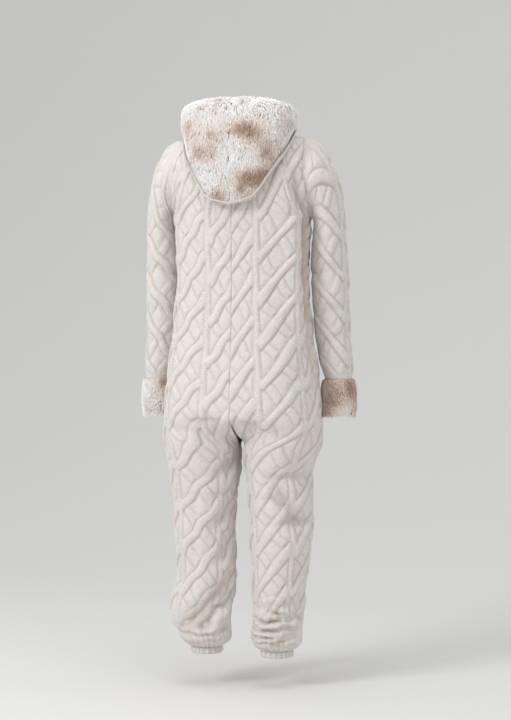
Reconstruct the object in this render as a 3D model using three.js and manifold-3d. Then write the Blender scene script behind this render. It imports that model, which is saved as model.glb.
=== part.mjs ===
// A hooded one-piece pajama in plush fleece with raised cables, hollow as when worn.
// Millimetres, +Z up, front towards -Y, wearer's left towards +X, origin between the shoulders.
import * as THREE from 'three';
import { mergeVertices } from 'three/addons/utils/BufferGeometryUtils.js';
import Module from 'manifold-3d';

const wasm = await Module();
wasm.setup();

// Cloth
const SEAM = 0.3; // gap between neighbouring pieces
const WALL = 4; // plush fleece
const FUR = 11; // fur with its pile pressed flat
const ROPE = 5; // height of a cable's rope above the ground between ropes
const GROOVE = -1.5; // depth of the groove beside a braid
const PLY_HEIGHT = 0.4; // height of a braid's lower loops, as a share of a rope
const CROSSING_HEIGHT = 1.2; // height where two ropes cross, as a share of a rope
const FOLD_GIRTH = 1.3; // length of a panel's row as a share of its chord
const FOLD_TAPER = { ends: 0.35, from: 0.1, to: 0.9 };

// Grid of a body panel: columns from the centre to the side, rows from the neck to the ankle
const COLUMNS = 18;
const YOKE_ROWS = 8; // shoulder to underarm
const LOWER_ROWS = 42; // underarm to ankle
const ROWS = YOKE_ROWS + LOWER_ROWS;
const SECTION_SAMPLES = 64;
const INNER_COLUMN_STEP = 3;
const INNER_ROW_STEP = 2;
const DIAMOND = 4; // columns and rows in a diamond of the lattice
const GATHER_ROWS = 4; // rows above the ankle where the cables are drawn together
const GATHERED_HEIGHT = 0.5;
const ZIP_COLUMN = 1; // the front has no cables up to this column
const CROTCH_COLUMN = 2;
const CROTCH_BELOW = 60;

// Heights
const UNDERARM_Z = -190;
const SEAT_Z = -700; // where the body starts to part into two legs
const CROTCH_Z = -790; // where it has parted

// Neck and shoulder
const NECK_HALF_WIDTH = 75;
const NECK_BACK_DEPTH = 60;
const NECK_FRONT_DEPTH = 85;
const NECK_SIDE_Z = 42;
const NECK_BACK_DROP = 5;
const NECK_FRONT_DROP = 70;
const SHOULDER_TIP = { x: 160, z: 14 };
const UNDERARM_X = 176;
const ARMHOLE_HALF_DEPTH = 62;
const ARMHOLE_ROUND = 0.8;
const CHEST_SQUARE = 2.4; // exponent of the rounded body section
const YOKE_RISE = 2.6;
const YOKE_ROUND = 1.9;

const named = (names, rows) => rows.map((row) => Object.fromEntries(names.map((name, i) => [name, row[i]])));

const TORSO = named(['z', 'halfWidth', 'front', 'back'], [
  [-190, 176, 125, 130],
  [-350, 170, 122, 127],
  [-480, 178, 126, 133],
  [-600, 194, 134, 146],
  [-700, 202, 138, 152],
  [-765, 207, 136, 148],
  [-1400, 207, 136, 148],
]);

const LEG_COLUMNS = ['z', 'centre', 'halfWidth', 'halfDepth'];
const LEG = {
  left: named(LEG_COLUMNS, [
    [-640, 104, 97, 138],
    [-765, 105, 97, 120],
    [-850, 101, 89, 103],
    [-926, 101, 78, 93],
    [-1016, 101, 75, 86],
    [-1110, 98, 75, 82],
    [-1178, 108, 80, 84],
    [-1227, 112, 78, 86],
    [-1258, 105, 72, 81],
    [-1284, 97, 60, 68],
    [-1300, 97, 40, 44],
  ]),
  right: named(LEG_COLUMNS, [
    [-640, 104, 97, 138],
    [-765, 105, 97, 120],
    [-850, 96, 83, 103],
    [-926, 102, 79, 93],
    [-1016, 101, 77, 86],
    [-1110, 98, 67, 80],
    [-1178, 95, 65, 79],
    [-1227, 92, 65, 80],
    [-1258, 89, 66, 78],
    [-1288, 90, 61, 69],
    [-1305, 90, 41, 45],
  ]),
};

const SLEEVE = named(['z', 'centreX', 'centreY', 'halfWidth', 'halfDepth'], [
  [-235, 221, -36, 40, 64],
  [-350, 221, -46, 46, 58],
  [-480, 224.5, -56, 45, 54],
  [-560, 233, -60, 40, 48],
  [-606, 241, -62, 35, 42],
]);
const SLEEVE_COLUMNS = 22;
const CAP_ROWS = 8;
const ARM_ROWS = 14;
const SLEEVE_INNER_STEP = 2;
const CAP_LEAVE = 0.8; // how far the cap runs on out of the armhole, as a share of its reach
const CAP_ARRIVE = 1.15; // and how far above the arm it turns down
const SLEEVE_FACING = { inside: 0.35, width: 1.2 }; // cables are pressed flatter next to the body
const SLEEVE_FADE = { cap: 3, wrist: 2 };

// Folds of the worn cloth: a soft trough from one place to another on a panel.
// across runs from the centre line or inseam (0) to the side seam (1).
const FOLDS = named(['piece', 'across1', 'z1', 'across2', 'z2', 'width', 'depth'], [
  ['back_right', 0.84, -90, 0.92, -430, 26, 20],
  ['back_right', 0.62, -190, 0.7, -440, 30, -11],
  ['back_right', 0.93, -430, 0.9, -620, 30, 12],
  ['back_left', 0.86, -90, 0.9, -400, 24, 12],
  ['back_left', 0.08, -706, 0.4, -712, 14, 11],
  ['back_right', 0.04, -704, 0.25, -728, 14, 9],
  ['back_left', 0.05, -800, 0.35, -850, 18, 12],
  ['back_left', 0.08, -925, 0.3, -985, 16, 9],
  ['back_left', 0.1, -1020, 0.3, -1075, 16, 8],
  ['back_left', 0.1, -1110, 0.6, -1238, 20, 14],
  ['back_left', 0.15, -1236, 0.5, -1250, 16, 10],
  ['back_right', 0.45, -852, 0.9, -850, 16, 11],
  ['back_right', 0.5, -880, 0.75, -965, 22, 13],
  ['back_right', 0.5, -972, 0.95, -968, 16, 11],
  ['back_right', 0.1, -1190, 0.9, -1178, 14, 8],
  ['back_right', 0.1, -1232, 0.95, -1222, 14, 8],
  ['back_right', 0.15, -1266, 0.9, -1262, 12, 7],
  ['front_left', 0.1, -700, 0.6, -640, 20, 10],
  ['front_right', 0.1, -705, 0.55, -640, 20, 10],
  ['front_left', 0.3, -960, 0.9, -950, 20, 10],
  ['front_right', 0.2, -945, 0.8, -960, 20, 10],
  ['front_left', 0.85, -90, 0.9, -380, 24, 11],
  ['front_right', 0.85, -90, 0.9, -380, 24, 11],
  ['front_left', 0.1, -1200, 0.9, -1185, 15, 8],
  ['front_right', 0.15, -1215, 0.9, -1200, 15, 8],
]);

// Hood thrown back: for each turn round the neck, 0 at the back and 180 at the front, the
// distance from the neck's axis and the height of the rim, the bulge and the low edge.
const HOOD = named(['turn', 'rimR', 'rimZ', 'bulgeR', 'bulgeZ', 'lowR', 'lowZ'], [
  [0, 96, 114, 156, 30, 164, -160],
  [20, 102, 113, 160, 32, 167, -142],
  [30, 113, 111, 164, 38, 166, -108],
  [40, 126, 108, 167, 44, 169, -64],
  [60, 148, 97, 162, 54, 157, -8],
  [85, 132, 84, 143, 66, 140, 36],
  [120, 112, 70, 128, 58, 126, 34],
  [150, 100, 42, 118, 30, 118, 8],
  [174, 96, 20, 110, 6, 110, -16],
]);
const HOOD_COLUMNS = 12;
const HOOD_ROWS = 8;
const HOOD_SEAM_DIP = 4; // the centre seam draws the fur in
const SHELL_COLUMNS = 24;
const SHELL_ROWS = 4;
const SHELL_UNDER_RIM = 12.2;
const SHELL_ABOVE_NECK = 0.6;
const SHELL_PULL = 4; // the shell is drawn in between the neck and the rim
const SHELL_NECK_SHARE = 0.999;
const FUR_UPPER = { outward: 0.72, downward: 0.35 };
const FUR_LOWER = { downward: 0.6, tuck: 8 };

const CUFF = { length: 92, bulge: 6, rows: 4, overSleeve: 5, from: 0.12, to: 0.88 };
const HEM = { length: 17, wall: 3, waist: 2 };
const ZIP = { firstRow: 2, lastRow: 24, halfWidth: 11, thickness: 1.6 };
const SLIDER = {
  row: 3, width: 11, height: 15, plate: 3.4, thickness: 4, lift: 0.5,
  bridgeWidth: 3, bridgeSpan: 11, bridgeRise: 5, bar: 1.4, corner: 1, slope: 1.2,
};
const TAB = {
  width: 9, length: 34, thickness: 1.6, windowWidth: 4.4, windowHeight: 9,
  corner: 1, shoulder: 3, waist: 1.2, foot: 2, clearance: 0.8,
};

const FLEECE = { color: 0xe6ddd2, roughness: 0.95, metalness: 0 };
const FUR_FINISH = { color: 0xd8c6b4, roughness: 1, metalness: 0 };
const RIB_FINISH = { color: 0xdfd4c6, roughness: 0.9, metalness: 0 };
const TAPE_FINISH = { color: 0xe2d8cc, roughness: 0.8, metalness: 0 };
const METAL = { color: 0xc9c4bc, roughness: 0.35, metalness: 0.9 };

const vec = (x, y, z) => new THREE.Vector3(x, y, z);
const mix = (a, b, t) => a + (b - a) * t;
const clamp01 = (t) => Math.min(1, Math.max(0, t));
const smooth = (t) => clamp01(t) ** 2 * (3 - 2 * clamp01(t));
const power = (value, exponent) => Math.sign(value) * Math.abs(value) ** exponent;
const modulo = (value, base) => ((value % base) + base) % base;

// Smooth values of every column of a table at a key between its rows.
function lookUp(rows, key, value) {
  const falling = rows[0][key] > rows[1][key] ? -1 : 1;
  const at = (row) => row[key] * falling;
  const wanted = value * falling;
  let i = 0;
  while (i < rows.length - 2 && at(rows[i + 1]) < wanted) i += 1;
  const t = clamp01((wanted - at(rows[i])) / (at(rows[i + 1]) - at(rows[i])));
  const result = {};
  for (const name of Object.keys(rows[0])) {
    const slope = (j) => {
      const before = rows[Math.max(0, j - 1)];
      const after = rows[Math.min(rows.length - 1, j + 1)];
      return (after[name] - before[name]) / (at(after) - at(before));
    };
    const width = at(rows[i + 1]) - at(rows[i]);
    const m1 = slope(i) * width;
    const m2 = slope(i + 1) * width;
    const p1 = rows[i][name];
    const p2 = rows[i + 1][name];
    result[name] = p1 + m1 * t + (3 * (p2 - p1) - 2 * m1 - m2) * t * t + (2 * (p1 - p2) + m1 + m2) * t ** 3;
  }
  return result;
}

// Points at equal distances along a line of points.
function resample(points, count) {
  const lengths = [0];
  for (let i = 1; i < points.length; i += 1) {
    lengths.push(lengths[i - 1] + points[i].distanceTo(points[i - 1]));
  }
  const total = lengths[lengths.length - 1];
  const result = [];
  let j = 0;
  for (let i = 0; i <= count; i += 1) {
    const wanted = (total * i) / count;
    while (j < points.length - 2 && lengths[j + 1] < wanted) j += 1;
    const t = clamp01((wanted - lengths[j]) / (lengths[j + 1] - lengths[j]));
    result.push(points[j].clone().lerp(points[j + 1], t));
  }
  return result;
}

// Body sections, on the wearer's left; the right half is mirrored.

// One row of a panel between underarm and ankle, from the centre or inseam to the side.
function lowerRow(leg, face, z) {
  const torso = lookUp(TORSO, 'z', z);
  const limb = lookUp(leg, 'z', z);
  const parted = smooth((SEAT_Z - z) / (SEAT_Z - CROTCH_Z));
  const points = [];
  for (let i = 0; i <= SECTION_SAMPLES; i += 1) {
    const turn = (Math.PI / 2) * (i / SECTION_SAMPLES);
    const depth = face > 0 ? torso.back : torso.front;
    const torsoX = torso.halfWidth * power(Math.sin(turn), 2 / CHEST_SQUARE);
    const torsoY = face * depth * power(Math.cos(turn), 2 / CHEST_SQUARE);
    const legX = limb.centre - limb.halfWidth * Math.cos(2 * turn);
    const legY = face * limb.halfDepth * Math.sin(2 * turn);
    points.push(vec(mix(torsoX, legX, parted), mix(torsoY, legY, parted), z));
  }
  return resample(points, COLUMNS);
}

// The height and depth of the neckline and shoulder seam above a place across the panel.
function topEdge(face, x) {
  if (x >= NECK_HALF_WIDTH) {
    const along = (x - NECK_HALF_WIDTH) / (SHOULDER_TIP.x - NECK_HALF_WIDTH);
    return { y: 0, z: mix(NECK_SIDE_Z, SHOULDER_TIP.z, along) };
  }
  const open = 1 - (x / NECK_HALF_WIDTH) ** 2;
  const drop = face > 0 ? NECK_BACK_DROP : NECK_FRONT_DROP;
  const depth = face > 0 ? NECK_BACK_DEPTH : NECK_FRONT_DEPTH;
  return { y: face * depth * Math.sqrt(open), z: NECK_SIDE_Z - drop * open };
}

// One row of the yoke, from the centre to the armhole; rise is 0 at the underarm, 1 at the top.
function yokeRow(face, rise) {
  const torso = TORSO[0];
  const edgeX = mix(UNDERARM_X, SHOULDER_TIP.x, rise);
  const armholeY = face * ARMHOLE_HALF_DEPTH * Math.max(0, Math.sin(Math.PI * rise)) ** ARMHOLE_ROUND;
  const points = [];
  for (let i = 0; i <= SECTION_SAMPLES; i += 1) {
    const across = Math.sin((Math.PI / 2) * (i / SECTION_SAMPLES));
    const x = edgeX * across;
    const top = topEdge(face, Math.min(x, edgeX));
    const swell = (1 - rise ** YOKE_RISE) ** (1 / YOKE_ROUND);
    const depth = face > 0 ? torso.back : torso.front;
    const middle = top.y + (face * depth - top.y) * swell;
    const round = (1 - across ** CHEST_SQUARE) ** (1 / CHEST_SQUARE);
    const y = armholeY + (middle - armholeY) * round;
    points.push(vec(x, y, mix(UNDERARM_Z, top.z, rise)));
  }
  return resample(points, COLUMNS);
}

// Base points of one panel, row by row from the top.
function panelPoints(leg, face) {
  const rows = [];
  for (let r = 0; r < YOKE_ROWS; r += 1) rows.push(yokeRow(face, 1 - r / YOKE_ROWS));
  const ankle = leg[leg.length - 1].z;
  for (let r = 0; r <= LOWER_ROWS; r += 1) {
    rows.push(lowerRow(leg, face, mix(UNDERARM_Z, ankle, r / LOWER_ROWS)));
  }
  return rows;
}

// Whether a height is below the fork of the legs, so that the two fronts no longer meet there.
const rowParted = (z) => z < (SEAT_Z + CROTCH_Z) / 2;
const flip = (p) => vec(-p.x, p.y, p.z);

// Outward normals of a panel; other is the panel that it meets at the side and inseam.
function panelNormals(points, other, face) {
  return points.map((row, r) => row.map((point, c) => {
    const parted = rowParted(point.z);
    const before = c > 0 ? row[c - 1] : parted ? other[r][1] : flip(row[1]);
    const joined = r >= YOKE_ROWS;
    const after = c < COLUMNS ? row[c + 1] : joined ? other[r][COLUMNS - 1] : row[c];
    const up = points[Math.max(0, r - 1)][c];
    const down = points[Math.min(ROWS, r + 1)][c];
    const across = after.clone().sub(before);
    const normal = across.cross(down.clone().sub(up)).multiplyScalar(face);
    if (r === 0 && point.x >= NECK_HALF_WIDTH) normal.y = 0;
    if (c === 0 && !parted) normal.x = 0;
    if (c === COLUMNS && !joined) {
      const axis = armholeAxis();
      normal.sub(axis.multiplyScalar(normal.dot(axis)));
    }
    return normal.normalize();
  }));
}

const armholeAxis = () => vec(SHOULDER_TIP.z - UNDERARM_Z, 0, UNDERARM_X - SHOULDER_TIP.x).normalize();

// Push the folds of one piece into its points.
function foldPanel(piece, points, normals) {
  const folds = FOLDS.filter((fold) => fold.piece === piece);
  return points.map((row, r) => row.map((point, c) => {
    const girth = row[0].distanceTo(row[COLUMNS]) * FOLD_GIRTH;
    const at = new THREE.Vector2((c / COLUMNS) * girth, point.z);
    let depth = 0;
    for (const fold of folds) {
      const start = new THREE.Vector2(fold.across1 * girth, fold.z1);
      const run = new THREE.Vector2(fold.across2 * girth, fold.z2).sub(start);
      const along = clamp01(at.clone().sub(start).dot(run) / run.lengthSq());
      const distance = at.distanceTo(start.clone().addScaledVector(run, along));
      const middle = Math.sin(Math.PI * mix(FOLD_TAPER.from, FOLD_TAPER.to, along));
      const taper = mix(FOLD_TAPER.ends, 1, middle);
      depth += fold.depth * taper * Math.exp(-((distance / fold.width) ** 2));
    }
    const edge = Math.min(c, COLUMNS - c, r, ROWS - r);
    return point.clone().addScaledVector(normals[r][c], -depth * smooth(edge / 2));
  }));
}

// Height of the cables at a column and row of the grid, with the bands that hold them.
function cableHeight(column, row, bands) {
  const band = bands.find((entry) => column >= entry.from && column <= entry.to);
  if (column === band.from || column === band.to) {
    if (!band.braid && modulo(column - band.phase + row, DIAMOND) === 0) return ROPE;
    return bands.some((entry) => entry.braid && (entry.from === column || entry.to === column)) ? GROOVE : 0;
  }
  if (band.braid) return modulo(column + row, 2) === 0 ? ROPE : ROPE * PLY_HEIGHT;
  const left = modulo(column - band.phase + row, DIAMOND) === 0;
  const right = modulo(column - band.phase - row, DIAMOND) === 0;
  if (left && right) return ROPE * CROSSING_HEIGHT;
  return left || right ? ROPE : 0;
}

const PANEL_BANDS = named(['from', 'to', 'braid', 'phase'], [
  [0, 4, false, 0],
  [4, 7, true, 0],
  [7, 15, false, 7],
  [15, 18, true, 0],
]);
const SLEEVE_BANDS = named(['from', 'to', 'braid', 'phase'], [
  [0, 3, true, 0],
  [3, 11, false, 3],
  [11, 14, true, 0],
  [14, 22, false, 14],
]);

// Height of the cables on a panel, which is flat at its ends, along the zip and at the crotch.
function panelRelief(face, column, row, z) {
  const atEnd = row < 1 || row > ROWS - 1;
  const atZip = face < 0 && column <= ZIP_COLUMN;
  const atCrotch = column <= CROTCH_COLUMN && z < SEAT_Z && z > CROTCH_Z - CROTCH_BELOW;
  if (atEnd || atZip || atCrotch) return 0;
  const drawn = smooth((row - (ROWS - GATHER_ROWS)) / GATHER_ROWS);
  return cableHeight(column, row, PANEL_BANDS) * mix(1, GATHERED_HEIGHT, drawn);
}

// Closed meshes from grids

class MeshBuilder {
  constructor() {
    this.positions = [];
    this.faces = [];
  }

  add(point) {
    this.positions.push(point.x, point.y, point.z);
    return this.positions.length / 3 - 1;
  }

  addGrid(points) {
    return points.map((row) => row.map((point) => this.add(point)));
  }

  quad(a, b, c, d, other = false) {
    if (other) this.faces.push(a, b, d, b, c, d);
    else this.faces.push(a, b, c, a, c, d);
  }

  // Triangles between two lines of vertices that run side by side.
  strip(lineA, lineB) {
    let i = 0;
    let j = 0;
    while (i < lineA.length - 1 || j < lineB.length - 1) {
      const nextA = (i + 1) / (lineA.length - 1);
      const nextB = (j + 1) / (lineB.length - 1);
      if (nextA <= nextB && i < lineA.length - 1) {
        this.faces.push(lineA[i], lineA[i + 1], lineB[j]);
        i += 1;
      } else {
        this.faces.push(lineA[i], lineB[j + 1], lineB[j]);
        j += 1;
      }
    }
  }

  geometry() {
    const shape = new THREE.BufferGeometry();
    let faces = this.faces;
    if (signedVolume(this.positions, faces) < 0) faces = reversed(faces);
    shape.setAttribute('position', new THREE.Float32BufferAttribute(this.positions, 3));
    shape.setIndex(faces);
    shape.computeVertexNormals();
    return shape;
  }
}

function signedVolume(positions, faces) {
  const corner = (i) => vec(positions[3 * i], positions[3 * i + 1], positions[3 * i + 2]);
  let sum = 0;
  for (let f = 0; f < faces.length; f += 3) {
    sum += corner(faces[f]).dot(corner(faces[f + 1]).cross(corner(faces[f + 2])));
  }
  return sum / 6;
}

function reversed(faces) {
  const result = [];
  for (let f = 0; f < faces.length; f += 3) result.push(faces[f], faces[f + 2], faces[f + 1]);
  return result;
}

const every = (list, step) => list.filter((item, i) => i % step === 0);
const column = (grid, c) => grid.map((row) => row[c]);

// A wall from an outer grid and a coarser inner one. A closed grid joins its last column to its
// first, and turned says which of the outer cells are cut along their other diagonal.
function wallGeometry(outerPoints, innerPoints, closed, turned = () => false) {
  const builder = new MeshBuilder();
  const outer = builder.addGrid(outerPoints);
  const inner = builder.addGrid(innerPoints);
  if (closed) {
    for (const row of outer) row.push(row[0]);
    for (const row of inner) row.push(row[0]);
  }
  for (const [grid, isOuter] of [[outer, true], [inner, false]]) {
    for (let r = 0; r < grid.length - 1; r += 1) {
      for (let c = 0; c < grid[r].length - 1; c += 1) {
        const corners = [grid[r][c], grid[r][c + 1], grid[r + 1][c + 1], grid[r + 1][c]];
        if (isOuter) builder.quad(...corners, turned(r, c));
        else builder.quad(corners[0], corners[3], corners[2], corners[1]);
      }
    }
  }
  const last = outer.length - 1;
  const lastInner = inner.length - 1;
  builder.strip(inner[0], outer[0]);
  builder.strip(outer[last], inner[lastInner]);
  if (!closed) {
    const width = outer[0].length - 1;
    const innerWidth = inner[0].length - 1;
    builder.strip(column(outer, 0), column(inner, 0));
    builder.strip(column(inner, innerWidth), column(outer, width));
  }
  return builder.geometry();
}

const garment = new THREE.Group();

function addMesh(name, geometry, finish, parent = garment) {
  const mesh = new THREE.Mesh(geometry, new THREE.MeshStandardMaterial({ name, ...finish }));
  mesh.name = name;
  parent.add(mesh);
  return mesh;
}

function mirrored(points, side) {
  return side > 0 ? points : points.map((row) => row.map(flip));
}

// Whether a rope runs along the other diagonal of a cell.
const alongRope = (bands, r, c) => {
  const band = bands.find((entry) => c >= entry.from && c < entry.to);
  return modulo(c + 1 - band.phase + r, DIAMOND) === 0;
};

// The inner side of a wall: every few points of a grid, moved in by the wall's thickness.
function innerSide(points, normals, rowStep, columnStep) {
  const kept = every(points, rowStep);
  const keptNormals = every(normals, rowStep).map((row) => every(row, columnStep));
  return kept.map((row, r) => every(row, columnStep).map((point, c) => (
    point.clone().addScaledVector(keptNormals[r][c], -WALL))));
}

// Body panels

function makePanel(name, side, face, grids) {
  const { points, normals } = grids[face > 0 ? 'back' : 'front'];
  const tucked = points.map((row, r) => row.map((point, c) => {
    const moved = point.clone();
    const parted = rowParted(point.z);
    const inward = (to) => row[to].clone().sub(point).normalize().multiplyScalar(SEAM / 2);
    if (c === 0 && parted) moved.add(inward(1));
    if (c === 0 && !parted) moved.x = SEAM / 2;
    if (c === COLUMNS) moved.add(inward(COLUMNS - 1));
    if (r === 0) moved.add(points[1][c].clone().sub(point).normalize().multiplyScalar(SEAM / 2));
    return moved;
  }));
  const outer = tucked.map((row, r) => row.map((point, c) => (
    point.clone().addScaledVector(normals[r][c], panelRelief(face, c, r, point.z)))));
  const inner = innerSide(tucked, normals, INNER_ROW_STEP, INNER_COLUMN_STEP);
  const geometry = wallGeometry(mirrored(outer, side), mirrored(inner, side), false,
    (r, c) => alongRope(PANEL_BANDS, r, c));
  addMesh(name, geometry, FLEECE);
  return outer;
}

function bodyGrids(sideName) {
  const front = panelPoints(LEG[sideName], -1);
  const back = panelPoints(LEG[sideName], 1);
  const shaped = {
    front: foldPanel(`front_${sideName}`, front, panelNormals(front, back, -1)),
    back: foldPanel(`back_${sideName}`, back, panelNormals(back, front, 1)),
  };
  return {
    front: { points: shaped.front, normals: panelNormals(shaped.front, shaped.back, -1) },
    back: { points: shaped.back, normals: panelNormals(shaped.back, shaped.front, 1) },
  };
}

// Sleeves

// Points round a tube, its inner side first, and so by the front, the outer side and the back.
function armholeRing(grids) {
  const front = grids.front.points.slice(0, YOKE_ROWS + 1).map((row) => row[COLUMNS]).reverse();
  const back = grids.back.points.slice(1, YOKE_ROWS + 1).map((row) => row[COLUMNS]);
  return resample([...front, ...back], SLEEVE_COLUMNS).slice(0, SLEEVE_COLUMNS);
}

function armRing(z) {
  const section = lookUp(SLEEVE, 'z', z);
  const points = [];
  for (let i = 0; i < SLEEVE_COLUMNS; i += 1) {
    const turn = (2 * Math.PI * i) / SLEEVE_COLUMNS;
    const x = section.centreX - section.halfWidth * Math.cos(turn);
    points.push(vec(x, section.centreY - section.halfDepth * Math.sin(turn), z));
  }
  return points;
}

function sleeveRows(grids) {
  const axis = armholeAxis();
  const armhole = armholeRing(grids).map((point) => point.clone().addScaledVector(axis, SEAM));
  const arm = armRing(SLEEVE[0].z);
  const rows = [];
  for (let r = 0; r <= CAP_ROWS; r += 1) {
    const t = r / CAP_ROWS;
    rows.push(armhole.map((from, i) => {
      const to = arm[i];
      const reach = from.distanceTo(to);
      const leave = axis.clone().multiplyScalar(reach * CAP_LEAVE);
      const arrive = vec(0, 0, -reach * CAP_ARRIVE);
      return vec(0, 0, 0)
        .addScaledVector(from, 2 * t ** 3 - 3 * t ** 2 + 1)
        .addScaledVector(leave, t ** 3 - 2 * t ** 2 + t)
        .addScaledVector(to, 3 * t ** 2 - 2 * t ** 3)
        .addScaledVector(arrive, t ** 3 - t ** 2);
    }));
  }
  const wristZ = SLEEVE[SLEEVE.length - 1].z;
  for (let r = 1; r <= ARM_ROWS; r += 1) rows.push(armRing(mix(SLEEVE[0].z, wristZ, r / ARM_ROWS)));
  return rows;
}

function tubeNormals(rows, edgeAxis) {
  const count = rows[0].length;
  return rows.map((row, r) => row.map((point, i) => {
    const across = row[(i + 1) % count].clone().sub(row[(i + count - 1) % count]);
    const down = rows[Math.min(rows.length - 1, r + 1)][i].clone().sub(rows[Math.max(0, r - 1)][i]);
    const normal = down.cross(across).negate();
    if (r === 0 && edgeAxis) normal.sub(edgeAxis.clone().multiplyScalar(normal.dot(edgeAxis)));
    return normal.normalize();
  }));
}

function outwardNormals(rows, edgeAxis) {
  const normals = tubeNormals(rows, edgeAxis);
  const middle = rows[rows.length - 1];
  const centre = middle.reduce((sum, point) => sum.add(point), vec(0, 0, 0)).divideScalar(middle.length);
  const outward = middle[0].clone().sub(centre).dot(normals[rows.length - 1][0]) > 0 ? 1 : -1;
  return normals.map((row) => row.map((normal) => normal.multiplyScalar(outward)));
}

function makeSleeve(sideName, side, grids) {
  const rows = sleeveRows(grids);
  const normals = outwardNormals(rows, armholeAxis());
  const last = rows.length - 1;
  const outer = rows.map((row, r) => row.map((point, i) => {
    const outward = 1 - Math.cos((2 * Math.PI * i) / SLEEVE_COLUMNS);
    const facing = mix(SLEEVE_FACING.inside, 1, smooth(outward / SLEEVE_FACING.width));
    const fade = smooth(r / SLEEVE_FADE.cap) * smooth((last - r) / SLEEVE_FADE.wrist);
    const height = cableHeight(i, r, SLEEVE_BANDS) * facing * fade;
    return point.clone().addScaledVector(normals[r][i], height);
  }));
  const inner = innerSide(rows, normals, SLEEVE_INNER_STEP, SLEEVE_INNER_STEP);
  const geometry = wallGeometry(mirrored(outer, side), mirrored(inner, side), true,
    (r, c) => alongRope(SLEEVE_BANDS, r, c));
  addMesh(`sleeve_${sideName}`, geometry, FLEECE);
  return rows[last];
}

// A ring of cloth that carries on from the end of a tube: each step has a drop and a swell.
function makeRing(name, end, side, steps, wall, finish) {
  const centre = end.reduce((sum, point) => sum.add(point), vec(0, 0, 0)).divideScalar(end.length);
  const grow = (point, amount) => {
    const away = vec(point.x - centre.x, point.y - centre.y, 0);
    const size = away.length();
    return vec(centre.x, centre.y, point.z).addScaledVector(away, (size + amount) / size);
  };
  const layer = (step, amount) => end.map((point) => grow(point, amount).setZ(point.z - step.drop));
  const outer = steps.map((step) => layer(step, step.swell));
  const inner = steps.map((step) => layer(step, step.swell - wall));
  addMesh(name, wallGeometry(mirrored(outer, side), mirrored(inner, side), true), finish);
}

function cuffSteps() {
  const steps = [];
  for (let i = 0; i <= CUFF.rows; i += 1) {
    const t = i / CUFF.rows;
    const swell = CUFF.overSleeve + CUFF.bulge * Math.sin(Math.PI * mix(CUFF.from, CUFF.to, t));
    steps.push({ drop: SEAM + CUFF.length * t, swell });
  }
  return steps;
}

function hemSteps() {
  return [0, 0.5, 1].map((t) => (
    { drop: SEAM + HEM.length * t, swell: -HEM.waist * Math.sin(Math.PI * t) }));
}

// Hood

function roundTheNeck(turn, radius, z) {
  const angle = THREE.MathUtils.degToRad(turn);
  return vec(radius * Math.sin(angle), radius * Math.cos(angle), z);
}

// One line of the fur from its rim over the bulge to the low edge.
function furLine(turn) {
  const { rimR, rimZ, bulgeR, bulgeZ, lowR, lowZ } = lookUp(HOOD, 'turn', turn);
  const upperR = mix(rimR, bulgeR, FUR_UPPER.outward);
  const curve = new THREE.CatmullRomCurve3([
    roundTheNeck(turn, rimR, rimZ),
    roundTheNeck(turn, upperR, mix(rimZ, bulgeZ, FUR_UPPER.downward)),
    roundTheNeck(turn, bulgeR, bulgeZ),
    roundTheNeck(turn, lowR, mix(bulgeZ, lowZ, FUR_LOWER.downward)),
    roundTheNeck(turn, lowR - FUR_LOWER.tuck, lowZ),
  ], false, 'centripetal');
  return curve.getSpacedPoints(HOOD_ROWS);
}

function openNormals(rows) {
  const lastRow = rows.length - 1;
  const lastColumn = rows[0].length - 1;
  return rows.map((row, r) => row.map((point, c) => {
    const before = c > 0 ? row[c - 1] : flip(row[1]);
    const across = row[Math.min(lastColumn, c + 1)].clone().sub(before);
    const down = rows[Math.min(lastRow, r + 1)][c].clone().sub(rows[Math.max(0, r - 1)][c]);
    const normal = across.cross(down);
    if (c === 0) normal.x = 0;
    return normal.normalize();
  }));
}

function makeHoodFur(sideName, side) {
  const lines = [];
  for (let c = 0; c <= HOOD_COLUMNS; c += 1) {
    lines.push(furLine(HOOD[HOOD.length - 1].turn * (c / HOOD_COLUMNS)));
  }
  const rows = [];
  for (let r = 0; r <= HOOD_ROWS; r += 1) rows.push(lines.map((line) => line[r].clone()));
  const normals = openNormals(rows);
  const layer = (depth) => rows.map((row, r) => row.map((point, c) => {
    const moved = point.clone().addScaledVector(normals[r][c], -depth(c));
    if (c === 0) moved.x = SEAM / 2;
    return moved;
  }));
  const outer = layer((c) => (c === 0 ? HOOD_SEAM_DIP : 0));
  const inner = layer(() => FUR);
  const geometry = wallGeometry(mirrored(outer, side), mirrored(inner, side), false);
  addMesh(`hood_fur_${sideName}`, geometry, FUR_FINISH);
}

// The shell's top at one turn, under the fur, square to the way in which the fur leaves its rim.
function shellRim(turn, { rimR, rimZ, bulgeR, bulgeZ }) {
  const across = (bulgeR - rimR) * FUR_UPPER.outward;
  const down = (rimZ - bulgeZ) * FUR_UPPER.downward;
  const share = SHELL_UNDER_RIM / Math.hypot(across, down);
  return roundTheNeck(turn, rimR - down * share, rimZ - across * share);
}

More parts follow.
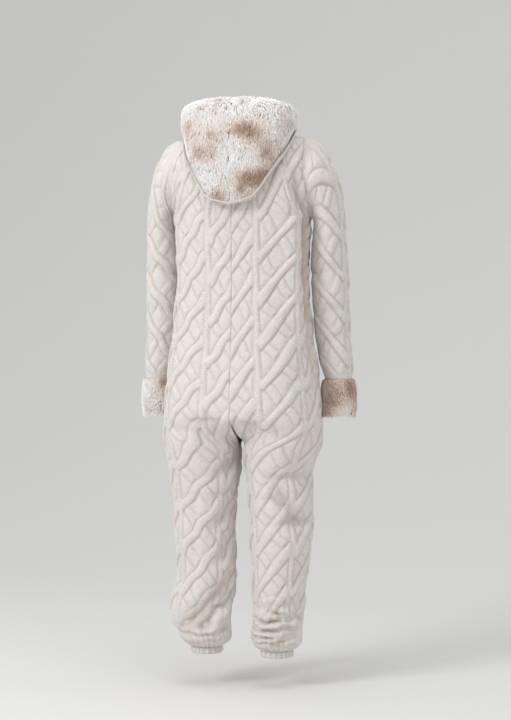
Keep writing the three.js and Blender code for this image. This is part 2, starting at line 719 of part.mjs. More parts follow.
// The fleece side of the hood, rising from the neckline inside the rim of the fur.
function makeHoodShell() {
  const outer = [];
  const inner = [];
  const lastTurn = HOOD[HOOD.length - 1].turn;
  for (let r = 0; r <= SHELL_ROWS; r += 1) {
    const t = r / SHELL_ROWS;
    const outerRow = [];
    const innerRow = [];
    for (let c = 0; c <= SHELL_COLUMNS; c += 1) {
      const turn = mix(-lastTurn, lastTurn, c / SHELL_COLUMNS);
      const section = lookUp(HOOD, 'turn', Math.abs(turn));
      const angle = THREE.MathUtils.degToRad(turn);
      const face = Math.cos(angle) > 0 ? 1 : -1;
      const depth = face > 0 ? NECK_BACK_DEPTH : NECK_FRONT_DEPTH;
      const neckX = NECK_HALF_WIDTH * Math.sin(angle);
      const neckZ = topEdge(face, Math.abs(neckX) * SHELL_NECK_SHARE).z + SEAM + SHELL_ABOVE_NECK;
      const neck = vec(neckX, depth * Math.cos(angle), neckZ);
      const rim = shellRim(turn, section);
      const point = neck.clone().lerp(rim, t);
      const away = vec(point.x, point.y, 0).normalize();
      point.addScaledVector(away, -SHELL_PULL * Math.sin(Math.PI * t));
      outerRow.push(point);
      innerRow.push(point.clone().addScaledVector(away, -WALL));
    }
    outer.push(outerRow);
    inner.push(innerRow);
  }
  addMesh('hood_shell', wallGeometry(outer, inner, false), FLEECE);
}

// Zip

function makeZip(frontOuter) {
  const centre = column(frontOuter, 0).slice(ZIP.firstRow, ZIP.lastRow + 1);
  const layer = (lift) => centre.map((point) => [-1, 0, 1].map((x) => (
    vec(x * ZIP.halfWidth, point.y - lift, point.z))));
  const geometry = wallGeometry(layer(SEAM + ZIP.thickness), layer(SEAM), false);
  addMesh('zip_tape', geometry, TAPE_FINISH);
  const upper = frontOuter[SLIDER.row][0];
  const lower = frontOuter[SLIDER.row + 1][0];
  const group = new THREE.Group();
  const down = lower.clone().sub(upper).normalize();
  group.rotation.x = Math.atan2(down.y, -down.z);
  const lift = ZIP.thickness + 2 * SEAM + SLIDER.lift;
  const { x: lean } = group.rotation;
  group.position.copy(upper.clone().lerp(lower, 0.5).setX(0));
  group.position.add(vec(0, -lift * Math.cos(lean), -lift * Math.sin(lean)));
  garment.add(group);
  makeSlider(group);
  makeTab(group);
}

function toSolid(geometry) {
  const bare = new THREE.BufferGeometry();
  bare.setAttribute('position', geometry.getAttribute('position'));
  bare.setIndex(geometry.getIndex());
  const merged = mergeVertices(bare, 1e-3);
  const vertProperties = Float32Array.from(merged.getAttribute('position').array);
  const triVerts = Uint32Array.from(merged.getIndex().array);
  return new wasm.Manifold(new wasm.Mesh({ numProp: 3, vertProperties, triVerts }));
}

function fromSolid(solid) {
  const mesh = solid.getMesh();
  const geometry = new THREE.BufferGeometry();
  geometry.setAttribute('position', new THREE.BufferAttribute(mesh.vertProperties, 3));
  geometry.setIndex(new THREE.BufferAttribute(mesh.triVerts, 1));
  geometry.computeVertexNormals();
  return geometry;
}

// The slider, seen from its side: a plate with a bridge over the tab's bar; local -Y is outward.
function makeSlider(group) {
  const half = SLIDER.height / 2;
  const foot = SLIDER.bridgeSpan / 2;
  const base = SLIDER.thickness;
  const top = base + SLIDER.bridgeRise;
  const span = foot - SLIDER.bar;
  const profile = new THREE.Shape([
    [0, -half], [0, half], [base, half - SLIDER.corner], [base, foot],
    [top, span], [top, -span], [base, -foot], [base, -half + SLIDER.corner],
  ].map(([x, y]) => new THREE.Vector2(x, y)));
  const rise = top - SLIDER.bar;
  const window = new THREE.Path([
    [base, -span], [rise, -span + SLIDER.slope], [rise, span - SLIDER.slope], [base, span],
  ].map(([x, y]) => new THREE.Vector2(x, y)));
  profile.holes.push(window);
  const geometry = new THREE.ExtrudeGeometry(profile, { depth: SLIDER.bridgeWidth, bevelEnabled: false });
  geometry.translate(0, 0, -SLIDER.bridgeWidth / 2);
  geometry.applyMatrix4(new THREE.Matrix4().set(0, 0, -1, 0, -1, 0, 0, 0, 0, 1, 0, 0, 0, 0, 0, 1));
  const plate = new THREE.BoxGeometry(SLIDER.width, SLIDER.plate, SLIDER.height);
  plate.translate(0, -SLIDER.plate / 2, 0);
  addMesh('zip_slider', fromSolid(toSolid(geometry).add(toSolid(plate))), METAL, group);
}

function makeTab(group) {
  const half = TAB.width / 2;
  const bar = SLIDER.bar;
  const shoulder = -TAB.windowHeight - TAB.shoulder;
  const foot = TAB.foot - TAB.length;
  const outline = new THREE.Shape();
  outline.moveTo(-half + TAB.corner, bar / 2);
  outline.lineTo(half - TAB.corner, bar / 2);
  outline.lineTo(half, shoulder);
  outline.lineTo(half - TAB.waist, foot);
  outline.quadraticCurveTo(half - TAB.foot, -TAB.length, 0, -TAB.length);
  outline.quadraticCurveTo(-half + TAB.foot, -TAB.length, -half + TAB.waist, foot);
  outline.lineTo(-half, shoulder);
  const side = TAB.windowWidth / 2;
  outline.holes.push(new THREE.Path([
    new THREE.Vector2(-side, -bar / 2), new THREE.Vector2(-side, -bar / 2 - TAB.windowHeight),
    new THREE.Vector2(side, -bar / 2 - TAB.windowHeight), new THREE.Vector2(side, -bar / 2),
  ]));
  const options = { depth: TAB.thickness, bevelEnabled: false, curveSegments: 4 };
  const geometry = new THREE.ExtrudeGeometry(outline, options);
  geometry.translate(0, 0, -TAB.thickness / 2);
  geometry.rotateX(Math.PI / 2);
  const mesh = addMesh('zip_pull', geometry, METAL, group);
  mesh.position.y = -(SLIDER.thickness + SLIDER.bar / 2 + TAB.clearance);
}

// The garment

for (const [sideName, side] of [['left', 1], ['right', -1]]) {
  const grids = bodyGrids(sideName);
  makePanel(`back_${sideName}`, side, 1, grids);
  const frontOuter = makePanel(`front_${sideName}`, side, -1, grids);
  const wrist = makeSleeve(sideName, side, grids);
  makeRing(`cuff_${sideName}`, wrist, side, cuffSteps(), FUR, FUR_FINISH);
  const front = grids.front.points[ROWS];
  const back = grids.back.points[ROWS];
  const ankle = [...front.slice(0, COLUMNS), ...back.slice(1).reverse()];
  makeRing(`hem_${sideName}`, every(ankle, INNER_COLUMN_STEP), side, hemSteps(), HEM.wall, RIB_FINISH);
  makeHoodFur(sideName, side);
  if (side > 0) makeZip(frontOuter);
}
makeHoodShell();

export default garment;
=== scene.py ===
"""A hooded one-piece pajama in plush fleece with raised cables, dressed over its solids.

Cloth is built from the same sections as the solids, in millimetres, and turned into metres when
a mesh is made. The front faces -Y, the wearer's left is +X and the origin is between the shoulders.
"""
import logging
import math
from dataclasses import dataclass, field
from enum import Enum
from typing import Optional, Sequence

import bpy
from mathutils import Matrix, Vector
import numpy as np


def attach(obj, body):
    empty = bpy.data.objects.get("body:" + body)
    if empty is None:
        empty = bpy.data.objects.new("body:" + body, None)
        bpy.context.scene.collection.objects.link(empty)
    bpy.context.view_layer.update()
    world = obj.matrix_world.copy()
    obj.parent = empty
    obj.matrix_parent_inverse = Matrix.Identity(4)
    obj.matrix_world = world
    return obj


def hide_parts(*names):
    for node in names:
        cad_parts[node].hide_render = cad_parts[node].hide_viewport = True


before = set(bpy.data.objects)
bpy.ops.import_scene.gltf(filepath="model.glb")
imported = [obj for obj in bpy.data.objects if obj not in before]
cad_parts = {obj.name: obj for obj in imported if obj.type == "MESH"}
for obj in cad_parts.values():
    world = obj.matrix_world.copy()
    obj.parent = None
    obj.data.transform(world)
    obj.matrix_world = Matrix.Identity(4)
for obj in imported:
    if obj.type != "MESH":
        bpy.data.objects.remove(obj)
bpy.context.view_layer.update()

LOG = logging.getLogger("onesie")
MM = 0.001
BODY = "garment"
UP = np.array([0.0, 0.0, 1.0])

Grid = np.ndarray


class Side(Enum):
    """A side of the garment, with the sign of its X."""

    LEFT = 1
    RIGHT = -1

    @property
    def word(self) -> str:
        """The side's word in the names of nodes."""
        return self.name.lower()


class Face(Enum):
    """The front or the back of the body, with the sign of its Y."""

    FRONT = -1
    BACK = 1

    @property
    def word(self) -> str:
        """The face's word in the names of nodes."""
        return self.name.lower()


def smooth(t: Grid) -> Grid:
    """A soft step from 0 to 1."""
    t = np.clip(t, 0.0, 1.0)
    return t * t * (3 - 2 * t)


def power(value: Grid, exponent: float) -> Grid:
    """A power that keeps the sign."""
    return np.sign(value) * np.abs(value) ** exponent


def unit(vectors: Grid) -> Grid:
    """Vectors of length 1."""
    return vectors / np.maximum(np.linalg.norm(vectors, axis=-1, keepdims=True), 1e-9)


def flip(points: Grid) -> Grid:
    """Points mirrored from one side of the garment to the other."""
    return points * np.array([-1.0, 1.0, 1.0])


class Table:
    """A short table with named columns, and smooth values between its rows."""

    def __init__(self, names: str, rows: Sequence[Sequence[float]]) -> None:
        """Keep the rows, ordered by their first column.

        Args:
            names: the columns' names, the first of which is the key.
            rows: one row of numbers for each section.
        """
        self.names = names.split()
        values = np.array(rows, float)
        self.rows = values[np.argsort(values[:, 0])]

    def at(self, key: float) -> dict[str, float]:
        """Values of every column at a key.

        Args:
            key: a value of the first column.

        Returns:
            The columns' values by name.
        """
        keys = self.rows[:, 0]
        i = int(np.clip(np.searchsorted(keys, key) - 1, 0, len(keys) - 2))
        width = keys[i + 1] - keys[i]
        t = float(np.clip((key - keys[i]) / width, 0, 1))
        slope = [self._slope(j) * width for j in (i, i + 1)]
        p, q = self.rows[i], self.rows[i + 1]
        values = p + slope[0] * t + (3 * (q - p) - 2 * slope[0] - slope[1]) * t * t
        values = values + (2 * (p - q) + slope[0] + slope[1]) * t ** 3
        return dict(zip(self.names, values))

    def _slope(self, row: int) -> Grid:
        """The change of each column for a unit of the key, at a row."""
        before = self.rows[max(0, row - 1)]
        after = self.rows[min(len(self.rows) - 1, row + 1)]
        return (after - before) / (after[0] - before[0])


def resample(points: Grid, count: int) -> Grid:
    """Points at equal distances along a line of points.

    Args:
        points: the line.
        count: how many steps the result has.

    Returns:
        count + 1 points.
    """
    steps = np.linalg.norm(np.diff(points, axis=0), axis=1)
    lengths = np.concatenate([[0], np.cumsum(steps)])
    wanted = np.linspace(0, lengths[-1], count + 1)
    return np.stack([np.interp(wanted, lengths, points[:, axis]) for axis in range(3)], axis=1)


class Lumps:
    """Smooth seeded noise in space, from -1 to 1."""

    SIZE = 32

    def __init__(self, seed: int) -> None:
        """Fill the lattice of random values."""
        self.values = np.random.RandomState(seed).uniform(-1, 1, (self.SIZE,) * 3)

    def at(self, points: Grid, spacing: float) -> Grid:
        """Noise at points.

        Args:
            points: places, in millimetres.
            spacing: the distance between lumps, in millimetres.

        Returns:
            A value for each point.
        """
        scaled = points / spacing
        low = np.floor(scaled).astype(int)
        part = scaled - low
        part = part * part * (3 - 2 * part)
        total = np.zeros(points.shape[:-1])
        for corner in np.ndindex(2, 2, 2):
            index = (low + np.array(corner)) % self.SIZE
            weight = np.prod(np.where(np.array(corner) > 0, part, 1 - part), axis=-1)
            total += weight * self.values[index[..., 0], index[..., 1], index[..., 2]]
        return total


PILE = Lumps(3)
BILLOW = Lumps(11)
MOTTLE = Lumps(29)


@dataclass(frozen=True)
class BodyCut:
    """Sizes of the body panels, in millimetres and grid units."""

    columns: int = 18
    yoke_rows: int = 8
    lower_rows: int = 42
    diamond: int = 4
    underarm_z: float = -190
    seat_z: float = -700
    crotch_z: float = -790
    neck_half_width: float = 75
    neck_back_depth: float = 60
    neck_front_depth: float = 85
    neck_side_z: float = 42
    neck_back_drop: float = 5
    neck_front_drop: float = 70
    shoulder_x: float = 160
    shoulder_z: float = 14
    underarm_x: float = 176
    armhole_half_depth: float = 62
    square: float = 2.4
    yoke_rise: float = 2.6
    yoke_round: float = 1.9

    @property
    def rows(self) -> int:
        """Rows of the whole panel."""
        return self.yoke_rows + self.lower_rows

    @property
    def armhole_axis(self) -> Grid:
        """The direction in which the armhole faces."""
        return unit(np.array([self.shoulder_z - self.underarm_z, 0, self.underarm_x - self.shoulder_x]))


CUT = BodyCut()
SEAM = 0.3
WALL = 4.0
ROPE = 5.6
COLUMN_PITCH = 16.0
ROW_PITCH = 26.8

TORSO = Table("z half_width front back", [
    [-190, 176, 125, 130],
    [-350, 170, 122, 127],
    [-480, 178, 126, 133],
    [-600, 194, 134, 146],
    [-700, 202, 138, 152],
    [-765, 207, 136, 148],
    [-1400, 207, 136, 148],
])
LEG = {
    Side.LEFT: Table("z centre half_width half_depth", [
        [-640, 104, 97, 138],
        [-765, 105, 97, 120],
        [-850, 101, 89, 103],
        [-926, 101, 78, 93],
        [-1016, 101, 75, 86],
        [-1110, 98, 75, 82],
        [-1178, 108, 80, 84],
        [-1227, 112, 78, 86],
        [-1258, 105, 72, 81],
        [-1284, 97, 60, 68],
        [-1300, 97, 40, 44],
    ]),
    Side.RIGHT: Table("z centre half_width half_depth", [
        [-640, 104, 97, 138],
        [-765, 105, 97, 120],
        [-850, 96, 83, 103],
        [-926, 102, 79, 93],
        [-1016, 101, 77, 86],
        [-1110, 98, 67, 80],
        [-1178, 95, 65, 79],
        [-1227, 92, 65, 80],
        [-1258, 89, 66, 78],
        [-1288, 90, 61, 69],
        [-1305, 90, 41, 45],
    ]),
}
ANKLE_Z = {Side.LEFT: -1300.0, Side.RIGHT: -1305.0}
SLEEVE = Table("z centre_x centre_y half_width half_depth", [
    [-235, 221, -36, 40, 64],
    [-350, 221, -46, 46, 58],
    [-480, 224.5, -56, 45, 54],
    [-560, 233, -60, 40, 48],
    [-606, 241, -62, 35, 42],
])


@dataclass(frozen=True)
class Fold:
    """A soft trough, or a ridge where depth is negative, from one place on a panel to another.

    across runs from the centre line or inseam (0) to the side seam (1); the rest is in millimetres.
    """

    panel: str
    across1: float
    z1: float
    across2: float
    z2: float
    width: float
    depth: float


FOLDS = [Fold(*row) for row in (
    ("back_right", 0.84, -90, 0.92, -430, 26, 20),
    ("back_right", 0.62, -190, 0.7, -440, 30, -11),
    ("back_right", 0.93, -430, 0.9, -620, 30, 12),
    ("back_left", 0.86, -90, 0.9, -400, 24, 12),
    ("back_left", 0.08, -706, 0.4, -712, 14, 11),
    ("back_right", 0.04, -704, 0.25, -728, 14, 9),
    ("back_left", 0.05, -800, 0.35, -850, 18, 12),
    ("back_left", 0.08, -925, 0.3, -985, 16, 9),
    ("back_left", 0.1, -1020, 0.3, -1075, 16, 8),
    ("back_left", 0.1, -1110, 0.6, -1238, 20, 14),
    ("back_left", 0.15, -1236, 0.5, -1250, 16, 10),
    ("back_right", 0.45, -852, 0.9, -850, 16, 11),
    ("back_right", 0.5, -880, 0.75, -965, 22, 13),
    ("back_right", 0.5, -972, 0.95, -968, 16, 11),
    ("back_right", 0.1, -1190, 0.9, -1178, 14, 8),
    ("back_right", 0.1, -1232, 0.95, -1222, 14, 8),
    ("back_right", 0.15, -1266, 0.9, -1262, 12, 7),
    ("front_left", 0.1, -700, 0.6, -640, 20, 10),
    ("front_right", 0.1, -705, 0.55, -640, 20, 10),
    ("front_left", 0.3, -960, 0.9, -950, 20, 10),
    ("front_right", 0.2, -945, 0.8, -960, 20, 10),
    ("front_left", 0.85, -90, 0.9, -380, 24, 11),
    ("front_right", 0.85, -90, 0.9, -380, 24, 11),
    ("front_left", 0.1, -1200, 0.9, -1185, 15, 8),
    ("front_right", 0.15, -1215, 0.9, -1200, 15, 8),
)]

# Smaller creases that only the visible cloth has
FINE_FOLDS = [Fold(*row) for row in (
    ("back_right", 0.15, -1150, 0.7, -1158, 9, 4),
    ("back_right", 0.3, -1206, 0.95, -1202, 8, 5),
    ("back_right", 0.05, -1250, 0.7, -1246, 8, 5),
    ("back_right", 0.35, -905, 0.6, -925, 9, 5),
    ("back_right", 0.6, -990, 0.95, -1010, 9, 4),
    ("back_right", 0.55, -830, 0.85, -812, 10, 4),
    ("back_left", 0.2, -1180, 0.8, -1262, 10, 5),
    ("back_left", 0.5, -1215, 0.95, -1268, 9, 5),
    ("back_left", 0.05, -1268, 0.6, -1274, 8, 5),
    ("back_left", 0.3, -735, 0.7, -722, 10, 4),
    ("back_left", 0.5, -880, 0.56, -1150, 9, 4),
    ("back_left", 0.1, -870, 0.4, -915, 9, 4),
    ("back_right", 0.3, -735, 0.6, -752, 10, 4),
    ("back_left", 0.7, -430, 0.95, -520, 12, 5),
    ("back_right", 0.8, -500, 0.6, -640, 12, 5),
    ("back_right", 0.45, -1196, 0.66, -1204, 6, 11),
    ("back_right", 0.2, -1222, 0.95, -1216, 6, 15),
    ("back_right", 0.1, -1243, 0.9, -1237, 6, 15),
    ("back_right", 0.52, -1284, 0.85, -1258, 7, 18),
    ("back_right", 0.0, -1264, 0.5, -1268, 6, 14),
    ("back_right", 0.0, -1284, 0.95, -1291, 5.5, 13),
    ("back_right", 0.15, -1232, 0.95, -1227, 6, -7),
    ("back_right", 0.05, -1254, 0.6, -1253, 7, -8),
    ("back_right", 0.1, -1275, 0.5, -1278, 6, -7),
    ("back_left", 0.04, -1150, 0.42, -1240, 9, 15),
    ("back_left", 0.06, -1196, 0.34, -1256, 11, -9),
    ("back_left", 0.06, -1246, 0.4, -1262, 7, 13),
    ("back_left", 0.06, -1283, 0.9, -1289, 5.5, 12),
    ("back_left", 0.35, -1266, 0.98, -1258, 6, 10),
    ("front_left", 0.1, -1222, 0.9, -1218, 7, 8),
    ("front_left", 0.1, -1264, 0.9, -1270, 7, 8),
    ("front_right", 0.1, -1230, 0.9, -1222, 7, 8),
    ("front_right", 0.1, -1274, 0.9, -1268, 7, 8),
    ("front_left", 0.15, -1150, 0.7, -1165, 9, 4),
    ("front_right", 0.2, -1170, 0.8, -1160, 9, 4),
    ("front_left", 0.1, -1245, 0.9, -1240, 9, 5),
    ("front_right", 0.1, -1255, 0.9, -1246, 9, 5),
    ("front_left", 0.1, -760, 0.5, -820, 11, 5),
    ("front_right", 0.1, -770, 0.45, -830, 11, 5),
    ("front_left", 0.4, -440, 0.9, -520, 12, 5),
    ("front_right", 0.35, -470, 0.85, -530, 12, 5),
)]


class BodySurface:
    """Sections of one half of the body; the right half is built as a left one and mirrored."""

    SAMPLES = 64

    def __init__(self, side: Side, column_steps: int, row_steps: int) -> None:
        """Work out both panels' points and normals.

        Args:
            side: which half.
            column_steps: steps of the fine grid in each column of the cut.
            row_steps: steps of the fine grid in each row of the cut.
        """
        self.side = side
        self.column_steps = column_steps
        self.row_steps = row_steps
        self.column = np.arange(CUT.columns * column_steps + 1) / column_steps
        self.row = np.arange(CUT.rows * row_steps + 1) / row_steps
        self.sag: dict[Face, Grid] = {}
        base = {face: self._points(face) for face in Face}
        normals = {face: self._normals(base, face) for face in Face}
        self.points = {face: self._fold(base[face], normals[face], face) for face in Face}
        self.normals = {face: self._normals(self.points, face) for face in Face}

    def _points(self, face: Face) -> Grid:
        """Base points of one panel, from its neck down and from its centre out."""
        rows = []
        for r in self.row:
            if r < CUT.yoke_rows:
                rows.append(self._yoke_row(face, 1 - r / CUT.yoke_rows))
            else:
                t = (r - CUT.yoke_rows) / CUT.lower_rows
                rows.append(self._lower_row(face, CUT.underarm_z + (ANKLE_Z[self.side] - CUT.underarm_z) * t))
        return np.array(rows)

    def _lower_row(self, face: Face, z: float) -> Grid:
        """One row between underarm and ankle, from the centre or inseam to the side."""
        torso, leg = TORSO.at(z), LEG[self.side].at(z)
        parted = float(smooth(np.array((CUT.seat_z - z) / (CUT.seat_z - CUT.crotch_z))))
        turn = np.linspace(0, math.pi / 2, self.SAMPLES + 1)
        x = torso["half_width"] * power(np.sin(turn), 2 / CUT.square)
        y = face.value * torso[face.word] * power(np.cos(turn), 2 / CUT.square)
        leg_x = leg["centre"] - leg["half_width"] * np.cos(2 * turn)
        leg_y = face.value * leg["half_depth"] * np.sin(2 * turn)
        points = np.stack([x + (leg_x - x) * parted, y + (leg_y - y) * parted, np.full_like(x, z)], axis=1)
        return resample(points, len(self.column) - 1)

    def _yoke_row(self, face: Face, rise: float) -> Grid:
        """One row between underarm (0) and shoulder (1), from the centre to the armhole."""
        torso = TORSO.at(CUT.underarm_z)
        edge_x = CUT.underarm_x + (CUT.shoulder_x - CUT.underarm_x) * rise
        armhole_y = face.value * CUT.armhole_half_depth * max(0.0, math.sin(math.pi * rise)) ** 0.8
        across = np.sin(np.linspace(0, math.pi / 2, self.SAMPLES + 1))
        x = edge_x * across
        top_y, top_z = self._top_edge(face, x)
        swell = max(0.0, 1 - rise ** CUT.yoke_rise) ** (1 / CUT.yoke_round)
        middle = top_y + (face.value * torso[face.word] - top_y) * swell
        y = armhole_y + (middle - armhole_y) * np.maximum(0, 1 - across ** CUT.square) ** (1 / CUT.square)
        z = CUT.underarm_z + (top_z - CUT.underarm_z) * rise
        return resample(np.stack([x, y, z], axis=1), len(self.column) - 1)

    @staticmethod
    def _top_edge(face: Face, x: Grid) -> tuple[Grid, Grid]:
        """Depth and height of the neckline and shoulder seam above places across the panel."""
        open_part = np.maximum(0, 1 - (x / CUT.neck_half_width) ** 2)
        back = face is Face.BACK
        drop = CUT.neck_back_drop if back else CUT.neck_front_drop
        depth = CUT.neck_back_depth if back else CUT.neck_front_depth
        along = np.maximum(0, x - CUT.neck_half_width) / (CUT.shoulder_x - CUT.neck_half_width)
        z = CUT.neck_side_z - drop * open_part + (CUT.shoulder_z - CUT.neck_side_z) * along
        return face.value * depth * np.sqrt(open_part), z

    def _normals(self, points: dict[Face, Grid], face: Face) -> Grid:
        """Outward normals of one panel, which agree with its neighbours' at the seams."""
        own, other = points[face], points[Face(-face.value)]
        parted = own[:, 0, 2] < (CUT.seat_z + CUT.crotch_z) / 2
        joined = self.row >= CUT.yoke_rows
        before = np.where(parted[:, None], other[:, 1], flip(own[:, 1]))
        after = np.where(joined[:, None], other[:, -2], own[:, -1])
        wide = np.concatenate([before[:, None], own, after[:, None]], axis=1)
        across = wide[:, 2:] - wide[:, :-2]
        tall = np.concatenate([own[:1], own, own[-1:]], axis=0)
        normal = np.cross(across, tall[2:] - tall[:-2]) * face.value
        normal[0, own[0, :, 0] >= CUT.neck_half_width, 1] = 0
        normal[~parted, 0, 0] = 0
        axis = CUT.armhole_axis
        edge = normal[~joined, -1]
        normal[~joined, -1] = edge - (edge @ axis)[:, None] * axis
        return unit(normal)

    def _fold(self, points: Grid, normals: Grid, face: Face) -> Grid:
        """Push the panel's folds and the soft billows of worn cloth into its points, and keep painted shade where the
        folds are deep.
        """
        name = f"{face.word}_{self.side.word}"
        girth = np.linalg.norm(points[:, -1] - points[:, 0], axis=1)[:, None] * 1.3
        x = (self.column / CUT.columns)[None, :] * girth
        z = points[..., 2]
        column = np.broadcast_to(self.column, z.shape)
        row = np.broadcast_to(self.row[:, None], z.shape)
        depth = np.zeros_like(z)
        wavy = z + 9.0 * BILLOW.at(points + 500.0, 30.0)
        for folds, height in ((FOLDS, z), (FINE_FOLDS, wavy)):
            for fold in folds:
                if fold.panel == name:
                    depth += self._trough(fold, x, height, girth)
        # Deep folds also get painted shade, in proportion to their depth.
        self.sag[face] = np.clip(depth / 13 - 0.3, 0, 1)
        depth += 2.2 * BILLOW.at(points * np.array([1, 1, 0.55]), 62.0)
        edge = np.minimum(np.minimum(column, CUT.columns - column), np.minimum(row, CUT.rows - row))
        return points - normals * (depth * smooth(edge / 2))[..., None]

    @staticmethod
    def _trough(fold: Fold, x: Grid, z: Grid, girth: Grid) -> Grid:
        """Depth of one fold over the panel."""
        start_x, run_x = fold.across1 * girth, (fold.across2 - fold.across1) * girth
        run_z = fold.z2 - fold.z1
        along = np.clip(((x - start_x) * run_x + (z - fold.z1) * run_z) / (run_x ** 2 + run_z ** 2), 0, 1)
        distance = np.hypot(x - start_x - run_x * along, z - fold.z1 - run_z * along)
        taper = 0.35 + 0.65 * np.sin(math.pi * (0.1 + 0.8 * along))
        return fold.depth * taper * np.exp(-(distance / fold.width) ** 2)


@dataclass(frozen=True)
class Band:
    """A band of the cable pattern between two columns.

    halves is how many half diamonds a lattice has across; 0 is a plain ribbed cord.
    """

    start: float
    end: float
    halves: int = 0


@dataclass
class Relief:
    """Heights of the cables in millimetres, the painted shade in the creases beside them and where the cords are."""

    height: Grid
    crease: Grid
    rib: Grid


@dataclass(frozen=True)
class CablePattern:
    """The raised cables, by column and row of the cut."""

    bands: tuple[Band, ...]
    falls_outward: bool = True
    repeat: float = 4.0
    half: float = 13.0
    cord_half: float = 9.5
    pillow: float = 2.6

    def relief(self, column: Grid, row: Grid) -> Relief:
        """The cables at places on the cloth.

        Args:
            column: columns of the places.
            row: rows of the places.

        Returns:
            Their heights, creases and ribs.
        """
        shape = np.broadcast(column, row).shape
        total = Relief(np.zeros(shape), np.zeros(shape), np.zeros(shape))
        for band in self.bands:
            part = self._lattice(band, column, row) if band.halves else self._cord(band, column, row)
            higher = part.height > total.height
            total.crease = np.where(higher, part.crease, np.maximum(total.crease, part.crease * (total.height < 0.8)))
            total.height = np.maximum(total.height, part.height)
            total.rib = np.maximum(total.rib, part.rib)
        return total

    def _lattice(self, band: Band, column: Grid, row: Grid) -> Relief:
        """Two sets of ropes that cross and turn back at the band's sides; one set passes over."""
        inside = np.clip(column, band.start, band.end)
        past = (column - inside) * COLUMN_PITCH
        along = (inside - band.start) / (band.end - band.start) * band.halves / 2
        down = row / self.repeat + 0.045 * np.sin(row * 1.9 + column * 0.7)
        width = (band.end - band.start) * COLUMN_PITCH
        scale = 1 / math.hypot(band.halves / (2 * width), 1 / (self.repeat * ROW_PITCH))
        one, two = self._to_line(along + down) * scale, self._to_line(along - down) * scale
        one, two = np.hypot(one, past), np.hypot(two, past)
        over, under = (two, one) if self.falls_outward else (one, two)
        dive = smooth((over - self.half * 0.85) / 8.0)
        top, low = self._round(over, self.half), self._round(under, self.half) * dive
        open_part = np.minimum(over, under) - self.half
        pillow = self.pillow * smooth(open_part / 11.0) * (np.abs(past) < 0.01)
        height = np.maximum(np.maximum(ROPE * 1.08 * top, ROPE * 0.8 * low), pillow)
        # Painted shade along the over rope's edges, and fainter along the under rope's edges where the over rope is
        # clear of them.
        edge = np.exp(-((over - self.half) / 2.6) ** 2)
        faint = 0.55 * np.exp(-((under - self.half) / 2.2) ** 2) * smooth((over - self.half) / 5.0)
        return Relief(height, np.maximum(edge, faint), 0.35 * np.maximum(top, low))

    def _cord(self, band: Band, column: Grid, row: Grid) -> Relief:
        """A narrow upright cord with fine ribs across it."""
        middle = (band.start + band.end) / 2
        off = (column - middle) * COLUMN_PITCH + 1.5 * np.sin(row * 1.57)
        cord = self._round(off, self.cord_half)
        # Painted shade along both sides of the cord.
        edge = 0.6 * np.exp(-((np.abs(off) - self.cord_half) / 2.2) ** 2)
        return Relief(ROPE * 0.72 * cord, edge, (cord > 0.25).astype(float))

    @staticmethod
    def _to_line(value: Grid) -> Grid:
        """Repeats to the nearest rope of a set."""
        return np.abs((value + 0.5) % 1.0 - 0.5)

    @staticmethod
    def _round(distance: Grid, half: float) -> Grid:
        """The rounded section of a rope, from 0 to 1."""
        return np.maximum(0, 1 - (distance / half) ** 2) ** 0.62


PANEL_CABLES = (Band(-3.7, 3.7, 3), Band(3.7, 5.5), Band(5.5, 11.6, 2), Band(11.6, 13.3), Band(13.3, 19.4, 2))
SLEEVE_CABLES = (Band(-1.6, 3.2, 2), Band(3.2, 5.0), Band(5.0, 11.4, 2), Band(11.4, 13.2),
                 Band(13.2, 19.6, 2), Band(19.6, 21.2))


@dataclass(frozen=True)
class Attributes:
    """Values kept on a mesh's points for its finish: painted crease shade, ribs, and how brown the fur is."""

    crease: Grid
    rib: Optional[Grid] = None
    mottle: Optional[Grid] = None


def zipper(first: Sequence[int], second: Sequence[int]) -> list[tuple[int, int, int]]:
    """Triangles between two lines of vertices that run side by side.

    Args:
        first: one line's vertices.
        second: the other's.

    Returns:
        The triangles, which turn with the first line.
    """
    triangles = []
    i = j = 0
    while i < len(first) - 1 or j < len(second) - 1:
        next_i = (i + 1) / (len(first) - 1)
        next_j = (j + 1) / (len(second) - 1)
        if next_i <= next_j and i < len(first) - 1:
            triangles.append((first[i], first[i + 1], second[j]))
            i += 1
        else:
            triangles.append((first[i], second[j + 1], second[j]))
            j += 1
    return triangles


def quads(index: Grid) -> Grid:
    """The four-sided faces of a grid of vertices."""
    corners = (index[:-1, :-1], index[:-1, 1:], index[1:, 1:], index[1:, :-1])
    return np.stack([corner.ravel() for corner in corners], axis=1)


